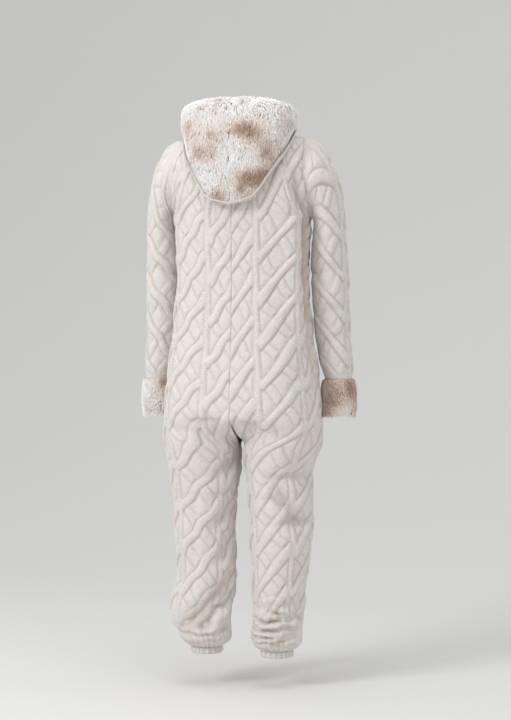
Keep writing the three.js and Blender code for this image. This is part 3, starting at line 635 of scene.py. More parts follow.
class Wall:
    """A closed wall of cloth between an outer grid of points and a coarser inner one."""

    def __init__(self, outer: Grid, inner: Grid, step: tuple[int, int], closed: bool = False) -> None:
        """Join the two grids.

        Args:
            outer: rows of points, in millimetres.
            inner: rows of points, of which the wall takes each step-th.
            step: rows and columns from one inner point to the next.
            closed: whether the last column joins the first.
        """
        self.outer = outer
        self.inner = inner[:: step[0], :: step[1]]
        self.step = step
        self.closed = closed

    def make(self, name: str, mirror: bool, attributes: Attributes, uv: Grid) -> bpy.types.Object:
        """Make the wall's object, with its attributes and UV map.

        Args:
            name: the object's name.
            mirror: whether the points are mirrored to the right half.
            attributes: values for the outer points.
            uv: the outer points' places along the cloth, in metres.

        Returns:
            The object.
        """
        outer_index = np.arange(self.outer[..., 0].size).reshape(self.outer.shape[:2])
        inner_index = np.arange(self.inner[..., 0].size).reshape(self.inner.shape[:2]) + outer_index.size
        if self.closed:
            outer_index = np.concatenate([outer_index, outer_index[:, :1]], axis=1)
            inner_index = np.concatenate([inner_index, inner_index[:, :1]], axis=1)
        faces = [quads(outer_index), quads(inner_index)[:, ::-1]]
        rims = zipper(list(inner_index[0]), list(outer_index[0]))
        rims += zipper(list(outer_index[-1]), list(inner_index[-1]))
        if not self.closed:
            rims += zipper(list(outer_index[:, 0]), list(inner_index[:, 0]))
            rims += zipper(list(inner_index[:, -1]), list(outer_index[:, -1]))
        points = np.concatenate([self.outer.reshape(-1, 3), self.inner.reshape(-1, 3)])
        points = flip(points) if mirror else points
        all_faces = [tuple(face) for face in np.concatenate(faces).tolist()] + rims
        if signed_volume(points, all_faces) < 0:
            all_faces = [face[::-1] for face in all_faces]
        obj = make_object(name, points * MM, all_faces)
        inner_uv = uv[:: self.step[0], :: self.step[1]].reshape(-1, 2)
        place_uv(obj, np.concatenate([uv.reshape(-1, 2), inner_uv]))
        inner_count = len(points) - self.outer[..., 0].size
        # Inner points take 0.2 of each value, a little painted crease shade among them.
        for word in ("crease", "rib", "mottle"):
            values = getattr(attributes, word)
            if values is not None:
                set_attribute(obj, word, np.concatenate([values.ravel(), np.full(inner_count, 0.2)]))
        return obj


def signed_volume(points: Grid, faces: Sequence[Sequence[int]]) -> float:
    """Six times the volume inside faces, negative where they point inwards."""
    total = 0.0
    by_size: dict[int, list[Sequence[int]]] = {}
    for face in faces:
        by_size.setdefault(len(face), []).append(face)
    for size, group in by_size.items():
        corners = points[np.array(group)]
        for k in range(1, size - 1):
            cross = np.cross(corners[:, k], corners[:, k + 1])
            total += float(np.einsum("ij,ij->", corners[:, 0], cross))
    return total


def make_object(name: str, points: Grid, faces: Sequence[Sequence[int]]) -> bpy.types.Object:
    """A smooth-shaded object from points in metres and faces."""
    mesh = bpy.data.meshes.new(name)
    mesh.from_pydata(points.tolist(), [], [list(face) for face in faces])
    mesh.polygons.foreach_set("use_smooth", [True] * len(mesh.polygons))
    mesh.update()
    obj = bpy.data.objects.new(name, mesh)
    bpy.context.scene.collection.objects.link(obj)
    return obj


def place_uv(obj: bpy.types.Object, uv: Grid) -> None:
    """Give a mesh a UV map from its points' places along the cloth."""
    layer = obj.data.uv_layers.new(name="Cloth")
    loops = np.empty(len(obj.data.loops), dtype=int)
    obj.data.loops.foreach_get("vertex_index", loops)
    layer.data.foreach_set("uv", uv[loops].astype(np.float32).ravel())


def set_attribute(obj: bpy.types.Object, name: str, values: Grid) -> None:
    """Keep one number for each point of a mesh."""
    attribute = obj.data.attributes.new(name, "FLOAT", "POINT")
    attribute.data.foreach_set("value", values.astype(np.float32).ravel())


class Value:
    """A shader socket with Python's operators."""

    def __init__(self, shader: "Shader", socket: bpy.types.NodeSocket) -> None:
        """Wrap a socket of a shader."""
        self.shader = shader
        self.socket = socket

    def _math(self, operation: str, other: "Operand", swap: bool = False) -> "Value":
        """Add a Math node on this value and another."""
        pair = (other, self) if swap else (self, other)
        return self.shader.add("ShaderNodeMath", {"operation": operation}, {0: pair[0], 1: pair[1]})

    def __add__(self, other: "Operand") -> "Value":
        """Sum."""
        return self._math("ADD", other)

    __radd__ = __add__

    def __sub__(self, other: "Operand") -> "Value":
        """Difference."""
        return self._math("SUBTRACT", other)

    def __rsub__(self, other: "Operand") -> "Value":
        """Difference from a number."""
        return self._math("SUBTRACT", other, swap=True)

    def __mul__(self, other: "Operand") -> "Value":
        """Product."""
        return self._math("MULTIPLY", other)

    __rmul__ = __mul__

    def __pow__(self, other: "Operand") -> "Value":
        """Power."""
        return self._math("POWER", other)

    def wave(self) -> "Value":
        """Sine."""
        return self.shader.add("ShaderNodeMath", {"operation": "SINE"}, {0: self})

    def between(self, low: float, high: float) -> "Value":
        """A clamped 0 to 1 as this value goes from low to high."""
        return self.shader.add("ShaderNodeMapRange", {"clamp": True}, {0: self, 1: low, 2: high})


Operand = Value | float


class Shader:
    """One material and its nodes."""

    def __init__(self, name: str) -> None:
        """Start a material with a Principled surface."""
        self.material = bpy.data.materials.new(name)
        self.material.use_nodes = True
        self.nodes = self.material.node_tree.nodes
        self.links = self.material.node_tree.links
        self.surface = self.nodes["Principled BSDF"]

    def add(self, kind: str, settings: dict, values: dict, output: int | str = 0) -> Value:
        """Add a node.

        Args:
            kind: the node's type.
            settings: its properties, and the stops of a ramp as (position, colour).
            values: values or links of its inputs, by number or name.
            output: the output wanted.

        Returns:
            The output.
        """
        node = self.nodes.new(kind)
        for key, value in settings.items():
            if key == "stops":
                self._set_stops(node.color_ramp, value)
            else:
                setattr(node, key, value)
        for key, value in values.items():
            self._set(node.inputs[key], value)
        return Value(self, node.outputs[output])

    @staticmethod
    def _set_stops(ramp: bpy.types.ColorRamp, stops: Sequence[tuple[float, Sequence[float]]]) -> None:
        """Set the stops of a colour ramp."""
        while len(ramp.elements) < len(stops):
            ramp.elements.new(1.0)
        for element, (position, colour) in zip(ramp.elements, stops):
            element.position = position
            element.color = (*colour, 1.0)

    def _set(self, socket: bpy.types.NodeSocket, value: object) -> None:
        """Set or link an input."""
        if isinstance(value, Value):
            self.links.new(value.socket, socket)
        elif isinstance(value, tuple) and socket.type == "RGBA":
            socket.default_value = (*value, 1.0)
        else:
            socket.default_value = value

    def set(self, **values: object) -> None:
        """Set inputs of the surface; underscores stand for spaces."""
        for key, value in values.items():
            self._set(self.surface.inputs[key.replace("_", " ")], value)

    def place(self) -> Value:
        """Object coordinates."""
        return self.add("ShaderNodeTexCoord", {}, {}, "Object")

    def cloth_place(self) -> Value:
        """Places along the cloth, in metres, from its own UV map."""
        return self.add("ShaderNodeUVMap", {"uv_map": "Cloth"}, {})

    def attribute(self, name: str) -> Value:
        """A number kept on the mesh's points."""
        return self.add("ShaderNodeAttribute", {"attribute_name": name}, {}, "Fac")

    def noise(self, scale: float, detail: float = 2.0, rough: float = 0.5) -> Value:
        """Noise on object coordinates; scale is lumps for each metre."""
        return self.add("ShaderNodeTexNoise", {}, {
            "Vector": self.place(), "Scale": scale, "Detail": detail, "Roughness": rough})

    def ramp(self, value: Value, stops: Sequence[tuple[float, Sequence[float]]]) -> Value:
        """Colours along a value."""
        return self.add("ShaderNodeValToRGB", {"stops": stops}, {0: value}, "Color")

    def blend(self, factor: Operand, first: object, second: object) -> Value:
        """Mix two colours."""
        return self.add("ShaderNodeMix", {"data_type": "RGBA"}, {0: factor, 6: first, 7: second}, 2)

    def bump(self, height: Value, distance: float, strength: float = 1.0) -> None:
        """Raise the surface by a height, in metres."""
        normal = self.add("ShaderNodeBump", {}, {"Strength": strength, "Distance": distance, "Height": height})
        self._set(self.surface.inputs["Normal"], normal)


Colour = tuple[float, float, float]


@dataclass(frozen=True)
class FleeceFinish:
    """Cream plush fleece: short dense pile with fine ribs, and warm brown painted shade in the creases beside the
    ropes and in deep folds.
    """

    name: str = "plush_fleece"
    crest: Colour = (0.775, 0.742, 0.722)
    ground: Colour = (0.69, 0.645, 0.608)
    # The colour of the painted shade in the creases and deep folds.
    crease: Colour = (0.43, 0.30, 0.20)
    tuft_scale: float = 230.0
    pile_scale: float = 850.0
    rib_pitch: float = 0.0056

    def make(self) -> bpy.types.Material:
        """Build the material."""
        shader = Shader(self.name)
        crease = shader.attribute("crease")
        tufts = shader.noise(self.tuft_scale, 3.0, 0.62)
        pile = shader.noise(self.pile_scale, 2.0, 0.6)
        patches = shader.noise(16.0, 2.0)
        colour = shader.blend(tufts.between(0.42, 0.58) * 0.55 + 0.45, self.ground, self.crest)
        colour = shader.blend((1 - patches.between(0.3, 0.7)) * 0.25, colour, self.ground)
        # Painted shade: creases beside the ropes and deep folds turn warm brown, broken up by the tufts.
        shade_amount = crease * (tufts.between(0.3, 0.7) * 0.4 + 0.6) * 0.6
        colour = shader.blend(shade_amount, colour, self.crease)
        shader.set(Base_Color=colour, Roughness=0.93, Sheen_Weight=0.3, Sheen_Roughness=0.45,
                   Sheen_Tint=(1.0, 0.95, 0.88), Specular_IOR_Level=0.12,
                   Subsurface_Weight=0.15, Subsurface_Scale=0.008)
        shader.bump(tufts * 0.7 + pile * 0.3 + self._ribs(shader) * 0.22, 0.003, 0.85)
        return shader.material

    def _ribs(self, shader: Shader) -> Value:
        """Fine ribs across the cords and ropes."""
        axes = shader.add("ShaderNodeSeparateXYZ", {}, {0: shader.cloth_place()}, "Y")
        wobble = shader.noise(60.0, 1.0)
        wave = (axes * (2 * math.pi / self.rib_pitch) + wobble * 5.0).wave()
        return wave * (shader.attribute("rib") * 0.85 + 0.15) * shader.noise(30.0, 1.0).between(0.3, 0.6)


@dataclass(frozen=True)
class FurFinish:
    """Mottled faux fur: white, cream and brown patches; depth blends in brown, which on the backing is painted shade
    between the locks.
    """

    name: str
    pale: Colour = (0.95, 0.93, 0.915)
    cream: Colour = (0.86, 0.74, 0.66)
    brown: Colour = (0.45, 0.30, 0.22)
    # share of brown over the whole colour; on the backing it is painted shade between the locks
    depth: float = 0.0

    def make(self) -> bpy.types.Material:
        """Build the material."""
        shader = Shader(self.name)
        mottle = shader.attribute("mottle")
        streak = shader.noise(260.0, 2.0, 0.6)
        value = mottle + (streak - 0.5) * 0.18
        colour = shader.ramp(value, [(0.15, self.pale), (0.5, self.cream), (1.0, self.brown)])
        # Painted shade: depth darkens the whole colour towards brown.
        colour = shader.blend(self.depth, colour, self.brown)
        shader.set(Base_Color=colour, Roughness=0.7, Sheen_Weight=0.4, Specular_IOR_Level=0.2,
                   Subsurface_Weight=0.25, Subsurface_Scale=0.008, Subsurface_Radius=(1.0, 0.85, 0.75))
        shader.bump(streak, 0.002, 0.5)
        return shader.material


@dataclass(frozen=True)
class WovenFinish:
    """Plain woven cloth, such as the zip's tape or the elastic casing."""

    name: str
    colour: Colour
    threads: float = 1100.0

    def make(self) -> bpy.types.Material:
        """Build the material."""
        shader = Shader(self.name)
        axes = shader.add("ShaderNodeSeparateXYZ", {}, {0: shader.place()})
        across = Value(shader, axes.socket.node.outputs[0])
        up = Value(shader, axes.socket.node.outputs[2])
        weave = (across * self.threads * 2).wave() * (up * self.threads * 2).wave()
        grain = shader.noise(700.0, 2.0)
        darker = tuple(part * 0.8 for part in self.colour)
        colour = shader.blend(grain.between(0.3, 0.7), darker, self.colour)
        shader.set(Base_Color=colour, Roughness=0.85, Sheen_Weight=0.2)
        shader.bump(weave * 0.5 + grain, 0.0006, 0.6)
        return shader.material


@dataclass(frozen=True)
class MetalFinish:
    """Satin nickel with worn edges."""

    name: str = "satin_nickel"
    colour: Colour = (0.62, 0.60, 0.57)

    def make(self) -> bpy.types.Material:
        """Build the material."""
        shader = Shader(self.name)
        wear = shader.noise(900.0, 3.0, 0.6)
        rough = wear.between(0.2, 0.8) * 0.2 + 0.24
        colour = shader.blend(wear.between(0.35, 0.75), self.colour, (0.8, 0.78, 0.75))
        shader.set(Base_Color=colour, Metallic=1.0, Roughness=rough)
        shader.bump(shader.noise(2500.0, 2.0), 0.0001, 0.3)
        return shader.material


class Detail:
    def __init__(self, quick: bool) -> None:
        """Choose the steps.
        """
        self.columns = 2 if quick else 5
        self.rows = 3 if quick else 8
        self.locks = 0.15 if quick else 1.0


def pile_noise(points: Grid) -> Grid:
    """The uneven height of the pile, in millimetres."""
    return 0.75 * PILE.at(points, 9.0) + 0.55 * PILE.at(points, 4.6)


@dataclass
class BodyPanels:
    """The four panels of the body, each in one length from neck to ankle."""

    surfaces: dict[Side, BodySurface]
    material: bpy.types.Material
    trim: float = SEAM / 2
    gathers: int = 13
    gather_depth: float = 2.2
    flat: tuple[float, float] = (0.34, 1.42)
    area: float = 0.38

    def build(self) -> None:
        """Make the panels."""
        for side, surface in self.surfaces.items():
            for face in Face:
                self._panel(surface, side, face)

    def _panel(self, surface: BodySurface, side: Side, face: Face) -> None:
        """Make one panel."""
        base, normals = surface.points[face], surface.normals[face]
        column = surface.column[None, :]
        row = surface.row[:, None]
        own_pattern = CablePattern(PANEL_CABLES, falls_outward=side is Side.LEFT)
        fade = self._fade(column, row, base[..., 2], face)
        relief = own_pattern.relief(column, row)
        height = relief.height * fade + pile_noise(base) * smooth(self._edge(column, row) / 0.4)
        height += self._gathering(column, row)
        outer = self._trimmed(base + normals * height[..., None], base)
        inner = self._trimmed(base - normals * WALL, base)
        name = f"{face.word}_{side.word}"
        uv = np.stack(np.broadcast_arrays(column * COLUMN_PITCH * MM, -row * ROW_PITCH * MM), axis=2)
        wall = Wall(outer, inner, (surface.row_steps, surface.column_steps))
        # Painted shade in the creases beside the cables and in the deep folds.
        tint = Attributes(np.maximum(relief.crease * fade, surface.sag[face]), relief.rib * fade)
        obj = wall.make(f"cloth_{name}", side is Side.RIGHT, tint, uv)
        dress(obj, self.material, name)

    @staticmethod
    def _edge(column: Grid, row: Grid) -> Grid:
        """Grid units to the nearest edge of the panel."""
        return np.minimum(np.minimum(column, CUT.columns - column), np.minimum(row, CUT.rows - row))

    def _fade(self, column: Grid, row: Grid, z: Grid, face: Face) -> Grid:
        """How much of the cables shows: none at the zip, the crotch and the seams at the ends."""
        fade = smooth(row / 1.2) * (1 - 0.8 * smooth((row - CUT.rows + 5) / 3))
        fade = fade * smooth((CUT.rows - row) / 0.7) * smooth((CUT.columns - column) / 0.35)
        at_crotch = smooth((-z + CUT.seat_z - 40) / 30) * smooth((z - CUT.crotch_z + 90) / 40)
        fade = fade * (1 - at_crotch * (1 - smooth((column - 0.8) / 1.2)))
        if face is Face.FRONT:
            fade = fade * smooth((column - 0.9) / 1.0)
        return fade * (1 - 0.3 * np.exp(-(column / 0.16) ** 2))

    def _gathering(self, column: Grid, row: Grid) -> Grid:
        """Vertical puckers where the leg is drawn in to its hem."""
        near = smooth((row - CUT.rows + 2.6) / 2.4) * smooth((CUT.rows - row) / 0.25 + 0.25)
        wave = np.sin(2 * math.pi * self.gathers * column / CUT.columns + 0.8 * np.sin(column * 1.7))
        return self.gather_depth * near * wave

    def _trimmed(self, points: Grid, base: Grid) -> Grid:
        """Points with the edges taken in by half a seam."""
        points = points.copy()
        middle = np.abs(base[:, 0, 0]) < 0.01
        inward = unit(base[:, 1] - base[:, 0]) * self.trim
        points[middle, 0, 0] = self.trim
        points[~middle, 0] += inward[~middle]
        points[:, -1] += unit(base[:, -2] - base[:, -1]) * self.trim
        points[0, :, 2] -= self.trim
        return points


def dress(obj: bpy.types.Object, material: bpy.types.Material, node: Optional[str]) -> None:
    """Give a piece its material, its body and the node that it stands for."""
    obj.data.materials.append(material)
    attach(obj, BODY)
    if node:
        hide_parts(node)


@dataclass(frozen=True)
class SleeveCut:
    """Sizes of the sleeve, in columns and rows of its grid and millimetres."""

    columns: int = 22
    cap_rows: int = 8
    arm_rows: int = 14
    top_z: float = -235
    wrist_z: float = -606
    leave: float = 0.8
    arrive: float = 1.15
    facing_low: float = 0.35
    facing_width: float = 1.2


class SleeveSurface:
    """Sections of one sleeve, from the armhole down to the wrist, in left-side coordinates."""

    press = 4.5

    def __init__(self, body: BodySurface, column_steps: int, row_steps: int) -> None:
        """Work out the sleeve's points and normals.

        Args:
            body: the half of the body that the sleeve is set into.
            column_steps: steps of the fine grid in each column.
            row_steps: steps of the fine grid in each row.
        """
        self.cut = SleeveCut()
        self.column_steps = column_steps
        self.row_steps = row_steps
        self.column = np.arange(self.cut.columns * column_steps) / column_steps
        last = self.cut.cap_rows + self.cut.arm_rows
        self.row = np.arange(last * row_steps + 1) / row_steps
        self.points = self._fold(self._points(self._armhole(body)))
        self.normals = self._normals(self.points)

    def _armhole(self, body: BodySurface) -> Grid:
        """The ring of the armhole, from the underarm by the front, the shoulder and the back."""
        last = CUT.yoke_rows * body.row_steps
        front = body.points[Face.FRONT][: last + 1, -1][::-1]
        back = body.points[Face.BACK][1: last + 1, -1]
        ring = resample(np.concatenate([front, back]), len(self.column))[:-1]
        return ring + CUT.armhole_axis * SEAM

    def _arm_ring(self, z: float) -> Grid:
        """The ring of the arm at a height."""
        arm = SLEEVE.at(z)
        turn = 2 * math.pi * self.column / self.cut.columns
        x = arm["centre_x"] - arm["half_width"] * np.cos(turn)
        y = arm["centre_y"] - arm["half_depth"] * np.sin(turn)
        return np.stack([x, y, np.full_like(x, z)], axis=1)

    def _points(self, armhole: Grid) -> Grid:
        """Rows of the cap, then of the arm."""
        cut = self.cut
        end = self._arm_ring(cut.top_z)
        reach = np.linalg.norm(end - armhole, axis=1)[:, None]
        leave = CUT.armhole_axis * reach * cut.leave
        arrive = -UP * reach * cut.arrive
        rows = []
        for r in self.row:
            if r < cut.cap_rows:
                t = r / cut.cap_rows
                ends = armhole * (1 - 3 * t ** 2 + 2 * t ** 3) + end * (3 * t ** 2 - 2 * t ** 3)
                rows.append(ends + leave * (t - 2 * t ** 2 + t ** 3) + arrive * (t ** 3 - t ** 2))
            else:
                t = (r - cut.cap_rows) / cut.arm_rows
                rows.append(self._arm_ring(cut.top_z + (cut.wrist_z - cut.top_z) * t))
        return np.array(rows)

    def _normals(self, points: Grid) -> Grid:
        """Outward normals, which lie in the armhole's plane on its ring."""
        across = np.roll(points, -1, axis=1) - np.roll(points, 1, axis=1)
        tall = np.concatenate([points[:1], points, points[-1:]], axis=0)
        normal = np.cross(tall[2:] - tall[:-2], across)
        centre = points.mean(axis=1, keepdims=True)
        if np.einsum("ijk,ijk->", normal, points - centre) < 0:
            normal = -normal
        axis = CUT.armhole_axis
        normal[0] -= (normal[0] @ axis)[:, None] * axis
        return unit(normal)

    def _fold(self, points: Grid) -> Grid:
        """Soft creases inside the elbow and the slack of the arm."""
        normals = self._normals(points)
        row = self.row[:, None]
        last = self.row[-1]
        turn = 2 * math.pi * self.column[None, :] / self.cut.columns
        depth = 2.4 * BILLOW.at(points * np.array([1, 1, 0.7]), 55.0)
        for at, where, width, size in ((8.6, 1.2, 0.5, 4.0), (11.6, 5.3, 0.45, 4.5), (13.1, 2.0, 0.5, 4.0),
                                       (15.3, 4.6, 0.45, 3.5), (18.4, 5.2, 0.5, 3.5), (19.9, 1.6, 0.4, 3.5)):
            slant = row - at - 0.35 * np.sin(turn - where)
            depth += size * np.exp(-(slant / width) ** 2) * (0.5 + 0.5 * np.cos(turn - where)) ** 1.5
        fade = smooth((row - 1.5) / 3) * smooth((last - row) / 1.5)
        upper = smooth((row - 6) / 2) * smooth((15 - row) / 4)
        depth -= self.press * upper * np.maximum(0, np.cos(turn)) ** 3
        return points - normals * (depth * fade)[..., None]


@dataclass
class Sleeves:
    """The two sleeves, with their cables."""

    surfaces: dict[Side, SleeveSurface]
    material: bpy.types.Material
    flat: tuple[float, float] = (0.40, 0.64)
    area: float = 0.22

    def build(self) -> None:
        """Make the sleeves."""
        for side, surface in self.surfaces.items():
            cut = surface.cut
            column, row = surface.column[None, :], surface.row[:, None]
            turn = 2 * math.pi * column / cut.columns
            facing = smooth((1 - np.cos(turn)) / cut.facing_width)
            facing = cut.facing_low + (1 - cut.facing_low) * facing
            fade = facing * smooth((row - 0.3) / 1.4) * smooth((surface.row[-1] - row) / 1.2)
            pattern = CablePattern(SLEEVE_CABLES, falls_outward=side is Side.LEFT)
            relief = pattern.relief(column, row)
            edge = smooth(np.minimum(row, surface.row[-1] - row) / 0.4)
            height = relief.height * fade + pile_noise(surface.points) * edge
            outer = surface.points + surface.normals * height[..., None]
            inner = surface.points - surface.normals * WALL
            uv = np.stack(np.broadcast_arrays(column * COLUMN_PITCH * MM, -row * ROW_PITCH * MM), axis=2)
            wall = Wall(outer, inner, (surface.row_steps, surface.column_steps), closed=True)
            name = f"sleeve_{side.word}"
            # Painted shade in the creases beside the cables.
            tint = Attributes(relief.crease * fade, relief.rib * fade)
            obj = wall.make(f"cloth_{name}", side is Side.RIGHT, tint, uv)
            dress(obj, self.material, name)


@dataclass
class Hems:
    """The elastic casings at the ankles, finely gathered."""

    surfaces: dict[Side, BodySurface]
    material: bpy.types.Material
    rows: int = 8
    length: float = 17.0
    swell: float = 1.6
    wall: float = 3.0
    gathers: int = 19
    gather_depth: float = 1.5
    flat: tuple[float, float] = (0.30, 0.022)

    def build(self) -> None:
        """Make both casings."""
        for side, surface in self.surfaces.items():
            front = surface.points[Face.FRONT][-1]
            back = surface.points[Face.BACK][-1][::-1]
            ring = np.concatenate([front[:-1], back[:-1]])
            t = np.linspace(0, 1, self.rows + 1)[:, None]
            centre = ring.mean(axis=0)
            out = unit((ring - centre) * np.array([1, 1, 0]))
            around = np.linspace(0, 2 * math.pi, len(ring), endpoint=False)
            crimp = self.gather_depth * np.sin(self.gathers * around + np.sin(3 * around))
            middle = np.sin(math.pi * t)
            swell = self.swell * middle + crimp * (0.35 + 0.65 * middle)
            low = ring[None] - UP * (SEAM + self.length * t)[..., None]
            outer = low + out[None] * (swell + pile_noise(low) * middle)[..., None]
            inner = low - out[None] * self.wall
            uv = np.stack(np.broadcast_arrays(around * 0.04, -t * self.length * MM), axis=2)
            wall = Wall(outer, inner, (2, 3), closed=True)
            # Painted shade in the hollows between the gathers, none on their ridges.
            crease = np.broadcast_to(0.3 - 0.3 * crimp / self.gather_depth, outer.shape[:2])
            obj = wall.make(f"cloth_hem_{side.word}", side is Side.RIGHT, Attributes(crease), uv)
            dress(obj, self.material, f"hem_{side.word}")


@dataclass(frozen=True)
class HoodCut:
    """The hood, by the turn around the neck from its centre back, in degrees."""

    columns: int = 12
    rows: int = 8
    last_turn: float = 174.0
    fur: float = 11.0
    nap: float = 5.5
    seam_dip: float = 3.5
    shell_under: float = 12.2
    shell_gap: float = 0.6
    shell_pull: float = 4.0
    shell_columns: int = 24
    shell_rows: int = 4
    table: Table = field(default_factory=lambda: Table("turn rimR rimZ bulgeR bulgeZ lowR lowZ", [
        [0, 96, 114, 156, 30, 164, -160],
        [20, 102, 113, 160, 32, 167, -142],
        [30, 113, 111, 164, 38, 166, -108],
        [40, 126, 108, 167, 44, 169, -64],
        [60, 148, 97, 162, 54, 157, -8],
        [85, 132, 84, 143, 66, 140, 36],
        [120, 112, 70, 128, 58, 126, 34],
        [150, 100, 42, 118, 30, 118, 8],
        [174, 96, 20, 110, 6, 110, -16],
    ]))


HOOD = HoodCut()


def around_neck(turn: float, radius: Grid, z: Grid) -> Grid:
    """Points at a turn around the neck, from its centre back towards the wearer's left."""
    angle = math.radians(turn)
    radius, z = np.broadcast_arrays(radius, z)
    return np.stack([radius * math.sin(angle), radius * math.cos(angle), z], axis=-1)


def spline(points: Grid, count: int) -> Grid:
    """Points at equal distances along a centripetal curve through a few points.

    Args:
        points: the points that it passes.
        count: how many steps the result has.

    Returns:
        count + 1 points.
    """
    padded = np.concatenate([[2 * points[0] - points[1]], points, [2 * points[-1] - points[-2]]])
    dense = []
    for k in range(1, len(padded) - 2):
        p = padded[k - 1: k + 3]
        gaps = np.maximum(np.linalg.norm(np.diff(p, axis=0), axis=1) ** 0.5, 1e-4)
        knots = np.concatenate([[0], np.cumsum(gaps)])
        for t in np.linspace(knots[1], knots[2], 12, endpoint=k == len(padded) - 3):
            level = list(p)
            for depth in (1, 2, 3):
                level = [(level[i] * (knots[i + depth] - t) + level[i + 1] * (t - knots[i]))
                         / (knots[i + depth] - knots[i]) for i in range(4 - depth)] if depth < 3 else [
                    (level[0] * (knots[2] - t) + level[1] * (t - knots[1])) / (knots[2] - knots[1])]
            dense.append(level[0])
    return resample(np.array(dense), count)


@dataclass
class HoodShell:
    """The hood's fleece outside, from the neck seam out to the fur."""

    material: bpy.types.Material
    detail: Detail
    flat: tuple[float, float] = (0.56, 0.12)
    area: float = 0.041

    def build(self) -> None:
        """Make the shell."""
        columns = HOOD.shell_columns * self.detail.columns
        rows = HOOD.shell_rows * self.detail.rows
        t = np.linspace(0, 1, rows + 1)[:, None]
        lines = []
        for turn in np.linspace(-HOOD.last_turn, HOOD.last_turn, columns + 1):
            neck, end = self._neck(turn), self._rim(turn)
            line = neck + (end - neck) * t
            away = unit(line * np.array([1, 1, 0]))
            lines.append(line - away * HOOD.shell_pull * np.sin(math.pi * t))
        points = np.stack(lines, axis=1)
        away = unit(points * np.array([1, 1, 0]))
        edge = smooth(np.minimum(t, 1 - t) / 0.12)
        outer = points + away * (pile_noise(points) * edge)[..., None]
        inner = points - away * WALL
        across = np.linspace(-0.3, 0.3, columns + 1)[None, :]
        uv = np.stack(np.broadcast_arrays(across, -t * 0.13), axis=2)
        # The whole shell takes a tenth of the painted crease shade.
        plain = np.full(outer.shape[:2], 0.1)
        wall = Wall(outer, inner, (self.detail.rows, self.detail.columns))
        obj = wall.make("cloth_hood_shell", False, Attributes(plain, plain * 0), uv)
        dress(obj, self.material, "hood_shell")

    @staticmethod
    def _rim(turn: float) -> Grid:
        """The shell's top, under the fur and square to the way in which the fur leaves its rim."""
        rim = HOOD.table.at(abs(turn))
        across = (rim["bulgeR"] - rim["rimR"]) * 0.72
        down = (rim["rimZ"] - rim["bulgeZ"]) * 0.35
        share = HOOD.shell_under / math.hypot(across, down)
        return around_neck(turn, rim["rimR"] - down * share, rim["rimZ"] - across * share)

    @staticmethod
    def _neck(turn: float) -> Grid:
        """A point just above the neckline."""
        angle = math.radians(turn)
        face = Face.BACK if math.cos(angle) > 0 else Face.FRONT
        depth = CUT.neck_back_depth if face is Face.BACK else CUT.neck_front_depth
        x = CUT.neck_half_width * math.sin(angle)
        top = BodySurface._top_edge(face, np.array([abs(x) * 0.999]))[1][0]
        return np.array([x, depth * math.cos(angle), top + SEAM + HOOD.shell_gap])


@dataclass
class HoodEdge:
    """The fleece edge that shows below the fur, broadest over the wearer's right shoulder."""

    material: bpy.types.Material
    detail: Detail
    half_depth: float = 8.0
    thickness: float = 3.0
    section: int = 8
    width: Table = field(default_factory=lambda: Table("turn width", [
        [-92, 7], [-62, 17], [-40, 13], [-20, 8], [0, 6], [25, 5], [60, 6], [80, 4],
    ]))
    flat: tuple[float, float] = (0.52, 0.028)

    def build(self) -> None:
        """Make the edge."""
        lines = [self._line(turn) for turn in np.linspace(-92, 80, 24 * self.detail.columns + 1)]
        outer = np.stack([line[0] for line in lines], axis=1)
        inner = np.stack([line[1] for line in lines], axis=1)
        columns = np.linspace(0, self.flat[0], outer.shape[1])[None, :]
        rows = np.linspace(0, -self.flat[1], outer.shape[0])[:, None]
        uv = np.stack(np.broadcast_arrays(columns, rows), axis=2)
        # The whole edge, under the fur, takes a quarter of the painted crease shade.
        crease = np.full(outer.shape[:2], 0.25)
        obj = Wall(outer, inner, (2, self.detail.columns)).make("cloth_hood_edge", False, Attributes(crease), uv)
        dress(obj, self.material, None)

    def _line(self, turn: float) -> tuple[Grid, Grid]:
        """The edge's outer and inner section at one turn."""
        low = HOOD.table.at(abs(turn))
        width = self.width.at(turn)["width"]
        angle = np.linspace(-0.55, 0.5, self.section * 2 + 1) * math.pi
        result = []
        for inset in (0.0, self.thickness):
            radius = low["lowR"] - 3.0 + (self.half_depth - inset) * np.sin(angle)
            height = low["lowZ"] - 1.0 - (width - inset * min(1.0, width / 8)) * np.cos(angle)
            points = around_neck(turn, radius, height)
            if not inset:
                outward = unit(points - around_neck(turn, low["lowR"] - 3.0, np.array(low["lowZ"])))
                points = points + outward * pile_noise(points)[..., None]
            result.append(points)
        return result[0], result[1]


@dataclass(frozen=True)
class Lock:
    """Sizes of the locks of fur, in millimetres."""

    length: float = 22.0
    width: float = 5.2
    sunk: float = 2.0
    lift: float = 0.42
    spread: float = 0.26
    flatness: float = 0.5


